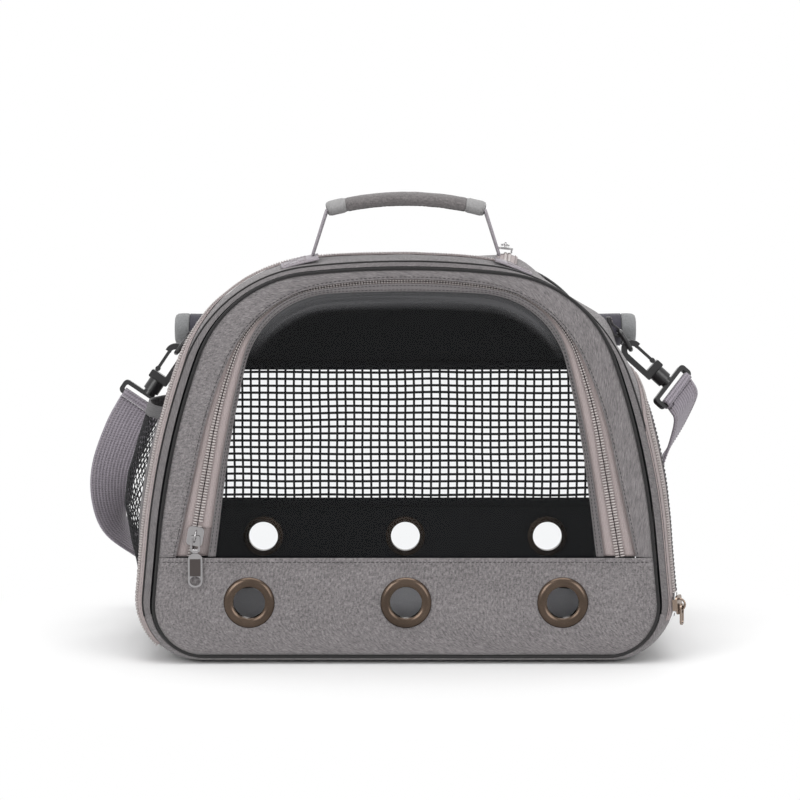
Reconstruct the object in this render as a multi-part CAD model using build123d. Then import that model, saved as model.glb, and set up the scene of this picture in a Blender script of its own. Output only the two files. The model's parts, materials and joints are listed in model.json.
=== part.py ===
from build123d import *
import os
from math import cos, radians, sin, sqrt, tan

# Pet sling carrier: an arched soft bag with a zipped window, a mesh back, a zipped side door,
# a grip handle and a shoulder strap on swivel snap hooks.
# X runs to the right, Y away from the front, Z up; the origin is the centre of the base on the floor.

# Overall size
body_depth = 240.0
front_half_width = 197.9
front_bottom = 6.0
front_top = 310.6
front_corner = 40.0
side_straight = 50.0
side_lean = 5.5
side_lean_high = 19.5
shoulder_lean = 84.0
shoulder_radius = 99.0

# How far the gusset swells beyond the front and back outlines
side_bulge = 16.0
top_bulge = 9.4
bulge_depth = 35.0
fabric_wall = 2.5
gusset_wall = 3.0
slack = 0.3
floor_press = 0.4

# Piping and the wires that keep the arches in shape
piping_radius = 1.5
piping_proud = 0.4
wire_radius = 1.2
wire_inset = 3.8

# Front zipped window
seam_height = 85.0
opening_half_width = 180.0
opening_top = 302.3
opening_straight = 90.0
opening_lean = 12.5
opening_lean_high = 25.0
opening_shoulder = 99.0
coil_half_width = 167.6
coil_top = 300.7
coil_straight = 90.0
coil_lean = 10.1
coil_lean_high = 20.0
coil_shoulder = 80.0
coil_width_low = 7.6
coil_width_top = 1.5
coil_gap = 0.4
binding_half_width = 155.0
binding_top = 299.0
binding_lean = 8.2
binding_lean_high = 14.6
binding_shoulder = 68.2
window_half_width = 148.9
window_top = 292.8
window_lean = 7.0
window_lean_high = 13.4
window_shoulder = 71.7
crown_lean = 81.5
coil_crown_lean = 80.5
window_crown_lean = 86.5
tape_wall = 0.9
tape_lap = 4.0
coil_height = 2.0
binding_wall = 0.9
film_wall = 0.5
film_lap = 3.0
binding_proud = 0.2
swing_play = 0.6
hem_height = 6.0
hem_proud = 1.0

# Sliders and pullers
slider_length = 15.0
slider_wall = 1.6
slider_wing = 2.2
slider_flange = 1.2
slider_corner = 3.0
slider_play = 0.8
slider_clearance = 0.4
slider_low = 94.0
bail_radius = 4.2
bail_half = 4.5
bail_foot = 0.4
bail_wire = 0.8
pull_lift = 1.7
link_wire = 1.4
link_width = 7.6
link_length = 13.0
link_corner = 1.6
barrel_play = 0.5
barrel_width = 4.2
puller_width = 11.5
puller_length = 27.0
puller_wall = 1.8
puller_rim = 1.5
puller_eye = 5.2
puller_eye_height = 3.6
puller_bar = 3.0
puller_inset_rise = 2.2
puller_inset_sunk = 0.2
inset_play = 0.1
small_pull_width = 7.0
small_puller_length = 17.0
small_pull_corner = 3.0
side_slider_low = 38.0
side_slider_sink = 0.45
side_slider_play = 2.4
side_slider_lift = 0.6
slider_stop = 2.0

# Eyelets
eyelet_bore = 25.0
eyelet_outer = 40.0
eyelet_height = 2.8
eyelet_barrel_wall = 0.8
eyelet_lip = 1.6
eyelet_flare = 1.2
eyelet_edge = 0.6
washer_outer = 34.0
washer_wall = 1.0
front_eyelet_spacing = 122.8
front_eyelet_height = 49.0
back_eyelet_height = 69.0

# Back panel: net window, curtain roll
net_bottom = 99.0
net_top = 217.0
net_half_bottom = 170.0
net_half_top = 150.0
net_corner = 12.0
net_wall = 0.9
net_lap = 5.0
net_columns = 24
net_rows = 12
net_thread = 2.2
net_binding = 9.0
roll_radius = 14.0
roll_height = 247.0
roll_half_length = 186.0
roll_end_length = 13.0
roll_end_round = 5.0
roll_wrap = 1.0
tie_width = 20.0
tie_wall = 1.2
tie_spacing = 120.0

# Base board and mat
board_half_width = 163.0
board_half_depth = 108.0
board_wall = 3.0
board_corner = 30.0
mat_half_width = 175.0
mat_half_depth = 107.0
mat_height = 22.0
mat_crown = 4.0

# Gusset zips and the side door
band_depth = 5.4
zip_half_tape = 8.0
zip_coil_width = 6.0
zip_front_depth = 14.0
zip_top_depth = 54.0
zip_jog_low = 165.0
zip_jog_high = 122.0
zip_turn = 82.0
zip_end_depth = 160.0
zip_start_height = 34.0
zip_foot_height = 14.0
zip_tail = 18.0
door_front_depth = 12.0
door_back_depth = 182.0
door_hinge_height = 34.0
door_top = 222.0
door_corner = 40.0
door_tape = 8.0
door_binding = 6.0
door_gap = 0.9

# Mesh pocket on the left side
pocket_front = -70.0
pocket_back = 60.0
pocket_low = 55.0
pocket_high = 198.0
pocket_wall = 1.2
pocket_floor = 2.0
pocket_bulge = (3.0, 13.0, 21.0, 22.0, 19.0, 17.0)
pocket_hem = 10.0

# Handle
handle_depth = 27.0
handle_webbing = 30.0
handle_webbing_wall = 2.0
handle_base_half = 73.0
handle_top_half = 61.0
handle_foot = 4.0
handle_clearance = 0.5
handle_fan = 30.0
handle_reach = 44.0
handle_grip_drop = 8.0
grip_thickness = 11.0
grip_width = 30.0
cap_length = 14.0
cap_proud = 0.6
core_radius = 2.5
core_play = 0.2
leg_gap = 1.2
anchor_reach = 40.0

# Side hooks, rings and the shoulder strap
hook_depth = 205.0
hook_wall = 8.0
hook_axis_left = 56.0
hook_axis_right = 42.0
hook_turn_left = 0.0
hook_turn_right = 35.0
hook_left = (-211.0, 206.1)
hook_right = (213.0, 213.5)
hook_outer = 9.0
hook_inner = 4.0
hook_nose = 28.0
hook_base = 7.0
barrel_radius = 7.0
barrel_length = 10.0
post_radius = 2.85
post_clearance = 0.05
gate_wall = 2.6
gate_inset = 0.2
gate_knuckle = 2.2
hook_mouth = 1.2
hook_round = 1.5
webbing_width = 38.0
webbing_wall = 1.8
loop_round = 2.0
ring_bar = 3.6
ring_slot = 5.4
ring_neck = 2.4
ring_half_inner = 19.8
ring_wall = 4.8
ring_round = 4.0
ring_slot_round = 1.5
collar_wall = 2.5
d_ring_wire = 2.0
d_ring_half_width = 12.5
d_ring_reach = 19.0
d_ring_corner = 4.0
tab_width = 17.0
tab_length = 15.0
adjuster_wall = 1.8
adjuster_bar = 4.5
adjuster_length = 26.0
adjuster_play = 1.2
adjuster_round = 4.0

# Shoulder strap: centre of the webbing and the way its width points, from the left ring round
# the back to the right ring; the points are chosen by hand from how it hangs, and its two
# sewn ends are set by the rings
strap_route = [
    ((-237.5, 86.0, 163.0), (0.85, 0.03, -0.52)),
    ((-249.0, 91.0, 132.0), (0.90, 0.25, -0.36)),
    ((-252.0, 103.0, 103.0), (0.72, 0.66, -0.20)),
    ((-247.0, 121.0, 77.0), (0.35, 0.93, -0.05)),
    ((-230.0, 140.0, 57.0), (0.05, 0.90, 0.43)),
    ((-201.0, 157.0, 43.0), (0.0, 0.50, 0.87)),
    ((-160.0, 170.0, 30.0), (0.0, 0.15, 0.99)),
    ((-105.0, 179.0, 26.0), (0.0, 0.0, 1.0)),
    ((-45.0, 184.0, 25.5), (0.0, 0.0, 1.0)),
    ((20.0, 185.0, 25.5), (0.0, 0.0, 1.0)),
    ((80.0, 182.0, 25.5), (0.0, 0.0, 1.0)),
    ((135.0, 174.0, 28.0), (-0.20, 0.05, 0.98)),
    ((178.0, 161.0, 50.0), (-0.45, 0.20, 0.87)),
    ((208.0, 140.0, 95.0), (-0.15, 0.75, 0.64)),
    ((225.0, 118.0, 138.0), (0.25, 0.88, 0.40)),
    ((234.0, 101.5, 163.0), (0.42, 0.82, 0.38)),
    ((238.6, 89.0, 184.0), (0.55, 0.62, 0.56)),
]
strap_steps = 3
adjuster_station = 9
strap_end_gap = 0.5

front_y = -body_depth / 2
back_y = body_depth / 2
bulge_stations = (0.6, 1.8, 3.4, band_depth, 9.0, 14.0, 20.0, 27.0, bulge_depth)
side_stations = (3.4, band_depth, band_depth + slack, 9.0, 14.0, 20.0, 27.0, bulge_depth,
                 body_depth - bulge_depth)
zip_surface = 0.25
coil_seat = 0.1
hook_y = front_y + hook_depth
handle_y = front_y + handle_depth
handle_grip_height = front_top + top_bulge + handle_reach

nodes = {}


def swell(depth):
    """Share of the gusset's full swell at a depth behind the front or back outline."""
    near = min(depth, body_depth - depth)
    if near >= bulge_depth:
        return 1.0
    return sqrt(1 - (1 - near / bulge_depth) ** 2)


def arch(half_width, bottom, top, corner, straight, low, high, crown, shoulder):
    """Corner points, arc centres and radii of the right half of an arch outline."""
    low, high, crown = radians(low), radians(high), radians(crown)
    rise = (1 - sin(crown)) / cos(crown)
    foot = (half_width, bottom)
    if corner > 0:
        foot = (half_width - corner + corner * cos(low), bottom + corner + corner * sin(low))
    knee = (foot[0] - straight * sin(low), foot[1] + straight * cos(low))
    run_x = shoulder * (cos(crown) - cos(high))
    run_z = shoulder * (sin(crown) - sin(high))
    side_x = cos(high) - cos(low)
    side_z = sin(high) - sin(low)
    side = (top - knee[1] - run_z - rise * (knee[0] + run_x)) / (side_z + rise * side_x)
    hip = (knee[0] + side * side_x, knee[1] + side * side_z)
    brow = (hip[0] + run_x, hip[1] + run_z)
    return {
        "half_width": half_width,
        "bottom": bottom,
        "top": top,
        "corner": corner,
        "foot": foot,
        "knee": knee,
        "hip": hip,
        "brow": brow,
        "arcs": ((knee, side, low, high), (hip, shoulder, high, crown)),
        "low": low,
    }


def arc_middle(start, radius, first, last):
    """Middle point of an arc that starts at a point whose outward normal is at angle first."""
    middle = (first + last) / 2
    return (
        start[0] + radius * (cos(middle) - cos(first)),
        start[1] + radius * (sin(middle) - sin(first)),
    )


def arch_wire(shape, y):
    """Closed wire of an arch outline in the upright plane at y."""

    def at(point, sign=1):
        return (sign * point[0], y, point[1])

    corner = shape["corner"]
    half = []
    base = (shape["half_width"] - corner, shape["bottom"])
    if corner > 0:
        centre = (base[0], shape["bottom"] + corner)
        turn = (shape["low"] - radians(90)) / 2
        middle = (centre[0] + corner * cos(turn), centre[1] + corner * sin(turn))
        half.append((base, middle, shape["foot"]))
    half.append((shape["foot"], None, shape["knee"]))
    for (start, radius, first, last), end in zip(shape["arcs"], (shape["hip"], shape["brow"])):
        half.append((start, arc_middle(start, radius, first, last), end))
    edges = [Edge.make_line(at(base, -1), at(base))]
    for start, middle, end in half:
        if middle is None:
            edges.append(Edge.make_line(at(start), at(end)))
        else:
            edges.append(Edge.make_three_point_arc(at(start), at(middle), at(end)))
    brow = shape["brow"]
    edges.append(Edge.make_three_point_arc(at(brow), at((0, shape["top"])), at(brow, -1)))
    for start, middle, end in reversed(half):
        if middle is None:
            edges.append(Edge.make_line(at(end, -1), at(start, -1)))
        else:
            edges.append(Edge.make_three_point_arc(at(end, -1), at(middle, -1), at(start, -1)))
    return Wire(edges)


def body_arch(out_side, out_top, out_bottom):
    """The piping outline, moved out by these amounts at its sides, top and bottom."""
    return arch(
        front_half_width + out_side,
        front_bottom - out_bottom,
        front_top + out_top,
        front_corner + (out_side + out_bottom) / 2,
        side_straight,
        side_lean,
        side_lean_high,
        shoulder_lean,
        shoulder_radius + (out_side + out_top) / 2,
    )


def gusset_arch(depth, offset):
    """Outline of the gusset at a depth, moved out from its outer face by an offset."""
    share = swell(depth)
    if offset < 0:
        least = piping_radius + slack
        side = max(side_bulge * share + offset, least)
        top = max(top_bulge * share + offset, least)
        return body_arch(side, top, least)
    low = (front_bottom + floor_press) * share
    return body_arch(side_bulge * share + offset, top_bulge * share + offset, low)


def skin(depths, offset):
    """Solid filled out to the gusset's face plus an offset, over a run of depths."""
    wires = [arch_wire(gusset_arch(depth, offset), front_y + depth) for depth in depths]
    return Solid.make_loft(wires, ruled=True)


def layer(depths, low, high):
    """Skin of even thickness between two offsets from the gusset's face."""
    return skin(depths, high) - skin(depths, low)


def block(x0, x1, y0, y1, z0, z1):
    """Box between two corners."""
    size = (x1 - x0, y1 - y0, z1 - z0)
    return Pos((x0 + x1) / 2, (y0 + y1) / 2, (z0 + z1) / 2) * Box(*size)


def upright(shape, y, wall):
    """Flat sheet with an arch outline, from y towards the back by its wall."""
    return extrude(Face(arch_wire(shape, y)), amount=wall, dir=(0, 1, 0))


def along(outline, y, radius):
    """Round cord that follows a closed arch outline."""
    path = arch_wire(outline, y)
    start = path.position_at(0)
    section = Plane(origin=start, z_dir=path.tangent_at(0)) * Circle(radius)
    return sweep(section, path=path)


def keep(name, shape):
    """Register the solids of one sub-part under its name."""
    solids = shape.solids() if hasattr(shape, "solids") else ShapeList(shape)
    nodes[name] = solids[0] if len(solids) == 1 else Compound(children=list(solids))


def group(name, shapes):
    """Register several separate solids under one name."""
    solids = [solid for shape in shapes for solid in shape.solids()]
    nodes[name] = Compound(children=solids)


# Outlines of the front window, from the sewn opening inwards
def window_outline(half_width, top, low, straight, leans, shoulder):
    """Arch whose half width is given at the seam and whose sides run on down to a lower edge."""
    drop = seam_height - low
    reach = half_width + drop * tan(radians(leans[0]))
    return arch(reach, low, top, 0, straight + drop / cos(radians(leans[0])), *leans, shoulder)


def opening_arch(lap=0.0, low=seam_height):
    leans = (opening_lean, opening_lean_high, crown_lean)
    half = opening_half_width + lap
    return window_outline(half, opening_top + lap, low, opening_straight, leans, opening_shoulder + lap)


def coil_arch(side, top, low=seam_height):
    leans = (coil_lean, coil_lean_high, coil_crown_lean)
    half = coil_half_width + side
    return window_outline(half, coil_top + top, low, coil_straight, leans, coil_shoulder + top)


def binding_arch(lap=0.0, low=seam_height):
    leans = (binding_lean, binding_lean_high, crown_lean)
    half = binding_half_width + lap
    return window_outline(half, binding_top + lap, low, side_straight, leans, binding_shoulder + lap)


def window_arch(lap=0.0, low=seam_height):
    leans = (window_lean, window_lean_high, window_crown_lean)
    half = window_half_width + lap
    return window_outline(half, window_top + lap, low, side_straight, leans, window_shoulder + lap)


def eyelets(height, spacing):
    """Centres of a row of three eyelets."""
    return [(step * spacing, height) for step in (-1, 0, 1)]


def eyelet_parts(face_y, outward, centres):
    """Rolled eyelets and their washers; outward is -1 where they face the front, 1 the back."""
    bore = eyelet_bore / 2
    barrel = bore + eyelet_barrel_wall
    rim = eyelet_outer / 2
    washer = washer_outer / 2
    flare = barrel + eyelet_flare
    crest = (rim + bore) / 2 + 1
    shoulder = eyelet_height - eyelet_flare
    back = fabric_wall + washer_wall + 2 * slack + eyelet_lip
    rings = []
    washers = []
    for x, z in centres:
        outline = Polyline(
            (bore, -back), (flare, -back), (flare, -back + eyelet_edge * eyelet_lip),
            (barrel, -back + eyelet_lip), (barrel, slack), (rim, slack), (rim, slack + eyelet_edge),
        )
        dome = ThreePointArc((rim, slack + eyelet_edge), (crest, eyelet_height), (bore, shoulder))
        wall = Line((bore, shoulder), (bore, -back))
        profile = make_face([outline, dome, wall])
        ring = revolve(profile, axis=Axis.Y)
        if outward < 0:
            ring = mirror(ring, about=Plane.XZ)
        rings.append(Pos(x, face_y, z) * ring)
        hole = Circle(washer) - Circle(barrel + slack)
        disc = extrude(hole, amount=washer_wall)
        inner = face_y - outward * (fabric_wall + slack)
        washers.append(Pos(x, inner, z) * Rot(90 if outward > 0 else -90, 0, 0) * disc)
    return rings, washers


def punch(sheet, centres):
    """Sheet with the holes that its eyelets pass through."""
    radius = eyelet_bore / 2 + eyelet_barrel_wall + slack
    for x, z in centres:
        sheet = sheet - Pos(x, 0, z) * Rot(90, 0, 0) * Cylinder(radius, 2 * body_depth)
    return sheet


# Front and back panels, piping and arch wires
panel_edge = -(piping_radius + slack)
panel_arch = body_arch(panel_edge, panel_edge, panel_edge)
front_eyelets = eyelets(front_eyelet_height, front_eyelet_spacing)
back_eyelets = eyelets(back_eyelet_height, front_eyelet_spacing)
wide = 2 * front_half_width
tall = 2 * front_top

front_sheet = upright(panel_arch, front_y, fabric_wall)
window_hole = upright(opening_arch(), front_y - 1, fabric_wall + 2)
upper = block(-wide, wide, -body_depth, body_depth, seam_height - slack, tall)
lower = block(-wide, wide, -body_depth, body_depth, -1, seam_height - 2 * slack)
keep("front_panel", (front_sheet & upper) - window_hole)
hem = block(-wide, wide, front_y - hem_proud, front_y, seam_height - hem_height, seam_height - 2 * slack)
hem = hem & upright(body_arch(-2 * piping_radius - slack, 0, 0), front_y - hem_proud, hem_proud)
keep("front_lower_panel", punch((front_sheet & lower) + hem, front_eyelets))
rings, washers = eyelet_parts(front_y, -1, front_eyelets)
front_rings, front_washers = rings, washers
piping_arch = body_arch(0, 0, 0)
piping_ys = (front_y + piping_proud, back_y - piping_proud)
group("piping", [along(piping_arch, y, piping_radius) for y in piping_ys])
wire_ys = (front_y + wire_inset, back_y - wire_inset)
group("arch_wires", [along(piping_arch, y, wire_radius) for y in wire_ys])


def net_outline(lap, y, wall):
    """Back window outline, a trapezoid with round corners, grown by a lap."""
    points = [
        (-net_half_bottom - lap, net_bottom - lap), (net_half_bottom + lap, net_bottom - lap),
        (net_half_top + lap, net_top + lap), (-net_half_top - lap, net_top + lap),
    ]
    face = make_face(Polyline(*points, close=True))
    face = fillet(face.vertices(), net_corner + max(lap, 0))
    plane = Plane(origin=(0, y, 0), x_dir=(1, 0, 0), z_dir=(0, -1, 0))
    return extrude(plane * face, amount=wall, dir=(0, 1, 0))


back_sheet = upright(panel_arch, back_y - fabric_wall, fabric_wall)
back_sheet = back_sheet - net_outline(0, back_y - fabric_wall - 1, fabric_wall + 2)
keep("back_panel", punch(back_sheet, back_eyelets))
rings, washers = eyelet_parts(back_y, 1, back_eyelets)
group("eyelets", front_rings + rings)
group("eyelet_washers", front_washers + washers)
net_y = back_y - fabric_wall - slack - net_wall
net_sheet = net_outline(net_lap, net_y, net_wall)
pitch_x = 2 * net_half_bottom / net_columns
pitch_z = (net_top - net_bottom) / net_rows
gap = Box(pitch_x - net_thread, 4 * net_wall, pitch_z - net_thread)
gaps = []
for column in range(net_columns):
    for row in range(net_rows):
        x = (column + 0.5) * pitch_x - net_half_bottom
        z = net_bottom + (row + 0.5) * pitch_z
        reach = net_half_bottom - (net_half_bottom - net_half_top) * (row + 0.5) / net_rows
        if abs(x) + pitch_x / 2 < reach:
            gaps.append(Pos(x, net_y, z) * gap)
print("net gaps", len(gaps))
keep("back_net", net_sheet - gaps)
binding_y = net_y - slack - binding_wall
frame = net_outline(net_lap, binding_y, binding_wall)
frame = frame - net_outline(net_lap - net_binding, binding_y - 1, binding_wall + 2)
keep("back_net_binding", frame)

# Gusset: front band, main shell, base tray
band_run = bulge_stations[:4]
main_run = [band_depth + slack] + [d for d in bulge_stations if d > band_depth + slack]
back_run = [body_depth - d for d in reversed(bulge_stations)]
main_run = main_run + back_run
tray_run = list(bulge_stations) + back_run
above = block(-wide, wide, -body_depth, body_depth, zip_start_height, tall)
below = block(-wide, wide, -body_depth, body_depth, 0, zip_start_height - slack)
keep("front_band", layer(band_run, -gusset_wall, 0) & above)
shell = layer(main_run, -gusset_wall, 0) & above
keep("base_tray", layer(tray_run, -gusset_wall, 0) & below)


def door_outline(grow, low):
    """Prism through the right side whose outline is the side door's, grown by an amount."""
    y0 = front_y + door_front_depth - grow
    y1 = front_y + door_back_depth + grow
    z1 = door_top + grow
    face = make_face(Polyline((y0, low), (y1, low), (y1, z1), (y0, z1), close=True))
    top_corners = face.vertices().sort_by(Axis.Y)[-2:]
    face = fillet(top_corners, door_corner + grow)
    plane = Plane(origin=(0, 0, 0), x_dir=(0, 1, 0), z_dir=(1, 0, 0))
    return extrude(plane * face, amount=wide)


# The door's lower front corner, under the parked slider, stays with the gusset
half_coil = zip_coil_width / 2
stub_top = side_slider_low + slider_length + slack
stub_back = front_y + door_front_depth + half_coil + door_tape
stub = block(0, wide, front_y, stub_back, 0, stub_top)
stub_clear = block(0, wide, front_y, stub_back + door_gap, 0, stub_top + door_gap)
door_edge = door_hinge_height + slack
keep("gusset_panel", shell - (door_outline(0, door_hinge_height) - stub))
keep("side_door_panel", (shell & door_outline(-door_gap, door_edge)) - stub_clear)

# Side door zip and binding, lying on the gusset and on the door
side_half = block(60, wide, -body_depth, body_depth, zip_start_height, tall)
tape_top = zip_surface + tape_wall
side_tape = layer(side_stations, zip_surface, tape_top) & side_half
side_coil = layer(side_stations, tape_top + coil_seat, tape_top + coil_height) & side_half
door_rim = door_outline(-door_gap, door_edge)
outer_ring = door_outline(door_tape - 1, door_hinge_height) - door_outline(0, 0)
keep("side_door_outer_tape", side_tape & outer_ring)
coil_ring = door_outline(half_coil, door_hinge_height) - door_outline(0, 0)
keep("side_door_outer_coil", (side_coil - stub) & coil_ring)
inner_tape = side_tape & (door_rim - door_outline(-half_coil - door_tape, 0))
keep("side_door_inner_tape", inner_tape - stub)
keep("side_door_inner_coil", (side_coil - stub) & (door_rim - door_outline(-half_coil, 0)))
far_in = half_coil + door_tape
binding_ring = door_outline(-far_in - slack, door_edge) - door_outline(-far_in - door_binding, 0)
keep("side_door_binding", side_tape & binding_ring)

# Long zip up the left side and across the top
half_tape = zip_half_tape


def zip_band(front, back, inner_turn, outer_turn, end_depth):
    """Prism seen from above: one strip of the zip that jogs back behind the handle."""
    jog = zip_top_depth - zip_front_depth
    points = [
        (-wide, zip_front_depth + front), (-zip_jog_low, zip_front_depth + front),
        (-zip_jog_high, zip_front_depth + front + jog),
        (zip_turn + outer_turn, zip_front_depth + front + jog),
        (zip_turn + outer_turn, end_depth), (zip_turn + inner_turn, end_depth),
        (zip_turn + inner_turn, zip_front_depth + back + jog),
        (-zip_jog_high, zip_front_depth + back + jog),
        (-zip_jog_low, zip_front_depth + back), (-wide, zip_front_depth + back),
    ]
    face = make_face(Polyline(*[(x, front_y + d) for x, d in points], close=True))
    return extrude(face, amount=tall)


top_run = (band_depth + slack, 9.0, 14.0, 20.0, 27.0, bulge_depth, zip_end_depth + slider_stop)
zip_room = block(-wide, wide, -body_depth, body_depth, zip_foot_height, tall)
left_tape = layer(top_run, zip_surface, tape_top) & zip_room
left_coil = layer(top_run, tape_top + coil_seat, tape_top + coil_height) & zip_room
keep("top_zip_tape", left_tape & zip_band(-half_tape, half_tape, -half_tape, half_tape, zip_end_depth))
coil_end = zip_end_depth - zip_tail
coil_front = left_coil & zip_band(-half_coil, -coil_gap / 2, coil_gap / 2, half_coil, coil_end)
coil_back = left_coil & zip_band(coil_gap / 2, half_coil, -half_coil, -coil_gap / 2, coil_end)
keep("top_zip_coil_front", coil_front)
keep("top_zip_coil_back", coil_back)

# Front window: tapes and coil halves behind the panel edge, clear film in its binding
tape_y = front_y + fabric_wall + slack
coil_y = tape_y - coil_seat - coil_height
half_gap = coil_gap / 2
slider_top = slider_low + slider_length
window_low = seam_height + slack
door_start = slider_top + 3 * slider_clearance
left_stub = block(-wide, -binding_half_width + slack, -body_depth, 0, 0, door_start)
left_low = block(-wide, -binding_half_width, -body_depth, 0, 0, door_start - slack)
half_low = coil_width_low / 2
half_top = coil_width_top / 2
coil_core_hole = upright(coil_arch(half_gap, half_gap, 0), coil_y - 1, 4 * coil_height)
keep("window_outer_tape", upright(opening_arch(tape_lap), tape_y, tape_wall) - coil_core_hole)
outer_coil = upright(coil_arch(half_low, half_top), coil_y, coil_height) - coil_core_hole
keep("window_outer_coil", outer_coil & upright(opening_arch(-slack, 0), coil_y, coil_height))
inner_core = upright(coil_arch(-half_gap - swing_play, -half_gap, window_low), tape_y, tape_wall)
tape_ring = inner_core - upright(binding_arch(-tape_lap, 0), tape_y - 1, 4 * tape_wall)
keep("window_inner_tape", tape_ring - left_stub)
coil_ring = upright(coil_arch(-half_gap, -half_gap, window_low), coil_y, coil_height)
for hole in (coil_arch(-half_low, -half_top, 0), binding_arch(slack, 0)):
    coil_ring = coil_ring - upright(hole, coil_y - 1, 4 * coil_height)
coil_ring = coil_ring & upright(opening_arch(-slack, 0), coil_y, coil_height)
keep("window_inner_coil", coil_ring - left_stub)
group("window_zip_end", [tape_ring & left_low, coil_ring & left_low])
binding_front = front_y - binding_proud
binding_ys = (binding_front, binding_front + binding_wall + film_wall + binding_proud)
film_y = binding_front + binding_wall + binding_proud / 2
binding_rings = []
for y in binding_ys:
    ring = upright(binding_arch(0, window_low), y, binding_wall)
    binding_rings.append(ring - upright(window_arch(0, 0), y - 1, 3))
group("window_binding", binding_rings)
keep("window_film", upright(window_arch(film_lap, window_low), film_y, film_wall))


def slider_shape(width, height):
    """Slider shell over a coil that runs along +Y in its own plane, with +Z outwards."""
    wing = fillet(Rectangle(width + 2 * slider_wing, slider_length).vertices(), slider_corner)
    shell_top = height + slider_clearance
    body = extrude(Plane.XY.offset(shell_top) * wing, amount=slider_wall)
    flange_height = height + slider_wall
    flange = Box(slider_flange, slider_length - 2 * slider_corner, flange_height)
    middle = shell_top + slider_wall - flange_height / 2
    for side in (-1, 1):
        body = body + Pos(side * (width / 2 + slider_flange), 0, middle) * flange
    return body, shell_top + slider_wall


def bail_shape(base):
    """Bridge over the slider that the puller's loop goes through."""
    arc = ThreePointArc((0, -bail_half, base), (0, 0, base + bail_radius), (0, bail_half, base))
    start = Plane(origin=arc @ 0, z_dir=arc % 0) * Circle(bail_wire)
    room = Box(3 * bail_half, 3 * bail_half, body_depth)
    return sweep(start, path=arc) & Pos(0, 0, base + body_depth / 2 - bail_foot) * room


def loop_shape(width, length, corner):
    """Flat loop of square wire in its own XY plane, hanging from its top bar at the origin."""
    outer = fillet(Rectangle(width, length).vertices(), corner)
    inner = fillet(Rectangle(width - 2 * link_wire, length - 2 * link_wire).vertices(), corner / 2)
    return Pos(0, (link_wire - length) / 2) * extrude(outer - inner, amount=link_wire / 2, both=True)


# Window slider with its puller, at the lower left
lean = radians(coil_lean)
slider_z = slider_low + slider_length / 2
slider_x = -(coil_half_width - (slider_z - seam_height) * sin(lean) / cos(lean))
slider_plane = Plane(
    origin=(slider_x, coil_y + coil_height, slider_z), x_dir=(cos(lean), 0, -sin(lean)), z_dir=(0, -1, 0)
)
shell_body, shell_top = slider_shape(coil_width_low + slider_play, coil_height)
window_slider = slider_plane * (shell_body + bail_shape(shell_top))
keep("window_slider", window_slider)
pull_crown = slider_plane.origin - Vector(0, shell_top + pull_lift, 0)
pull_plane = Plane(origin=pull_crown, x_dir=(1, 0, 0), z_dir=(0, -1, 0))
keep("window_pull_link", pull_plane * loop_shape(link_width, link_length, link_corner))
eye_place = pull_crown - Vector(0, 0, link_length - link_wire)
eye_plane = Plane(origin=eye_place, z_dir=(1, 0, 0))
eye_inner = link_wire / sqrt(2) + barrel_play / 2
eye_outer = eye_inner + slider_wall / 2
plate_round = puller_width / 2 - slider_clearance
plate_outer = fillet(Rectangle(puller_width, puller_length).vertices(), plate_round)
plate_top = link_length - link_wire + eye_inner + slack
plate_area = Pos(0, -plate_top - puller_length / 2)
end_eye = Ellipse(puller_width / 2 - puller_rim, puller_eye_height)
end_hole = Pos(0, -puller_length / 2 + puller_eye) * end_eye
inset_length = puller_length - 2 * puller_eye - puller_bar
inset_place = Pos(0, puller_inset_rise)
inset_hole = inset_place * Rectangle(puller_width - 2 * puller_rim, inset_length)
plate = extrude(plate_area * (plate_outer - end_hole - inset_hole), amount=puller_wall / 2, both=True)
sleeve = extrude(eye_plane * Circle(eye_outer), amount=barrel_width / 2, both=True)
sleeve_hole = extrude(eye_plane * Circle(eye_inner), amount=barrel_width, both=True)
keep("window_puller", (pull_plane * plate + sleeve) - sleeve_hole)
inset_width = puller_width - 2 * (puller_rim + inset_play)
inset_area = plate_area * inset_place * Rectangle(inset_width, inset_length - 2 * inset_play)
inset = extrude(inset_area, amount=puller_wall / 2 - puller_inset_sunk, both=True)
keep("window_puller_inset", pull_plane * inset)
print("window slider", slider_plane.origin, "puller hinge", pull_crown)

# Side door slider with its small puller, at the lower front of the door
side_lean_angle = radians(side_lean)
side_z = side_slider_low + slider_length / 2
side_shape = gusset_arch(door_front_depth, 0)
foot_x, foot_z = side_shape["foot"]
side_x = foot_x - (side_z - foot_z) * sin(side_lean_angle) / cos(side_lean_angle)
half_span = zip_coil_width / 2
swell_rise = swell(door_front_depth + half_span) - swell(door_front_depth - half_span)
side_across = Vector(side_bulge * swell_rise / (2 * half_span), 1, 0).normalized()
side_along = Vector(-sin(side_lean_angle), 0, cos(side_lean_angle))
side_normal = side_across.cross(side_along).normalized()
side_lift = tape_top + coil_seat - side_slider_sink
side_origin = Vector(side_x, front_y + door_front_depth, side_z) + side_normal * side_lift
slider_seat = Plane(origin=side_origin, x_dir=tuple(side_across), z_dir=tuple(side_normal))
side_body, side_top = slider_shape(zip_coil_width + side_slider_play, coil_height + side_slider_lift)
keep("side_slider", slider_seat * (side_body + bail_shape(side_top)))
side_crown = side_origin + side_normal * (side_top + pull_lift)
small_loop = loop_shape(small_pull_width, small_puller_length, small_pull_corner)
pull_normal = side_across.cross(Vector(0, 0, 1))
side_pull_plane = Plane(origin=side_crown, x_dir=tuple(side_across), z_dir=tuple(pull_normal))
keep("side_puller", side_pull_plane * small_loop)
print("side slider", side_origin, "puller hinge", side_crown, "along", side_along, "across", side_across)

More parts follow.
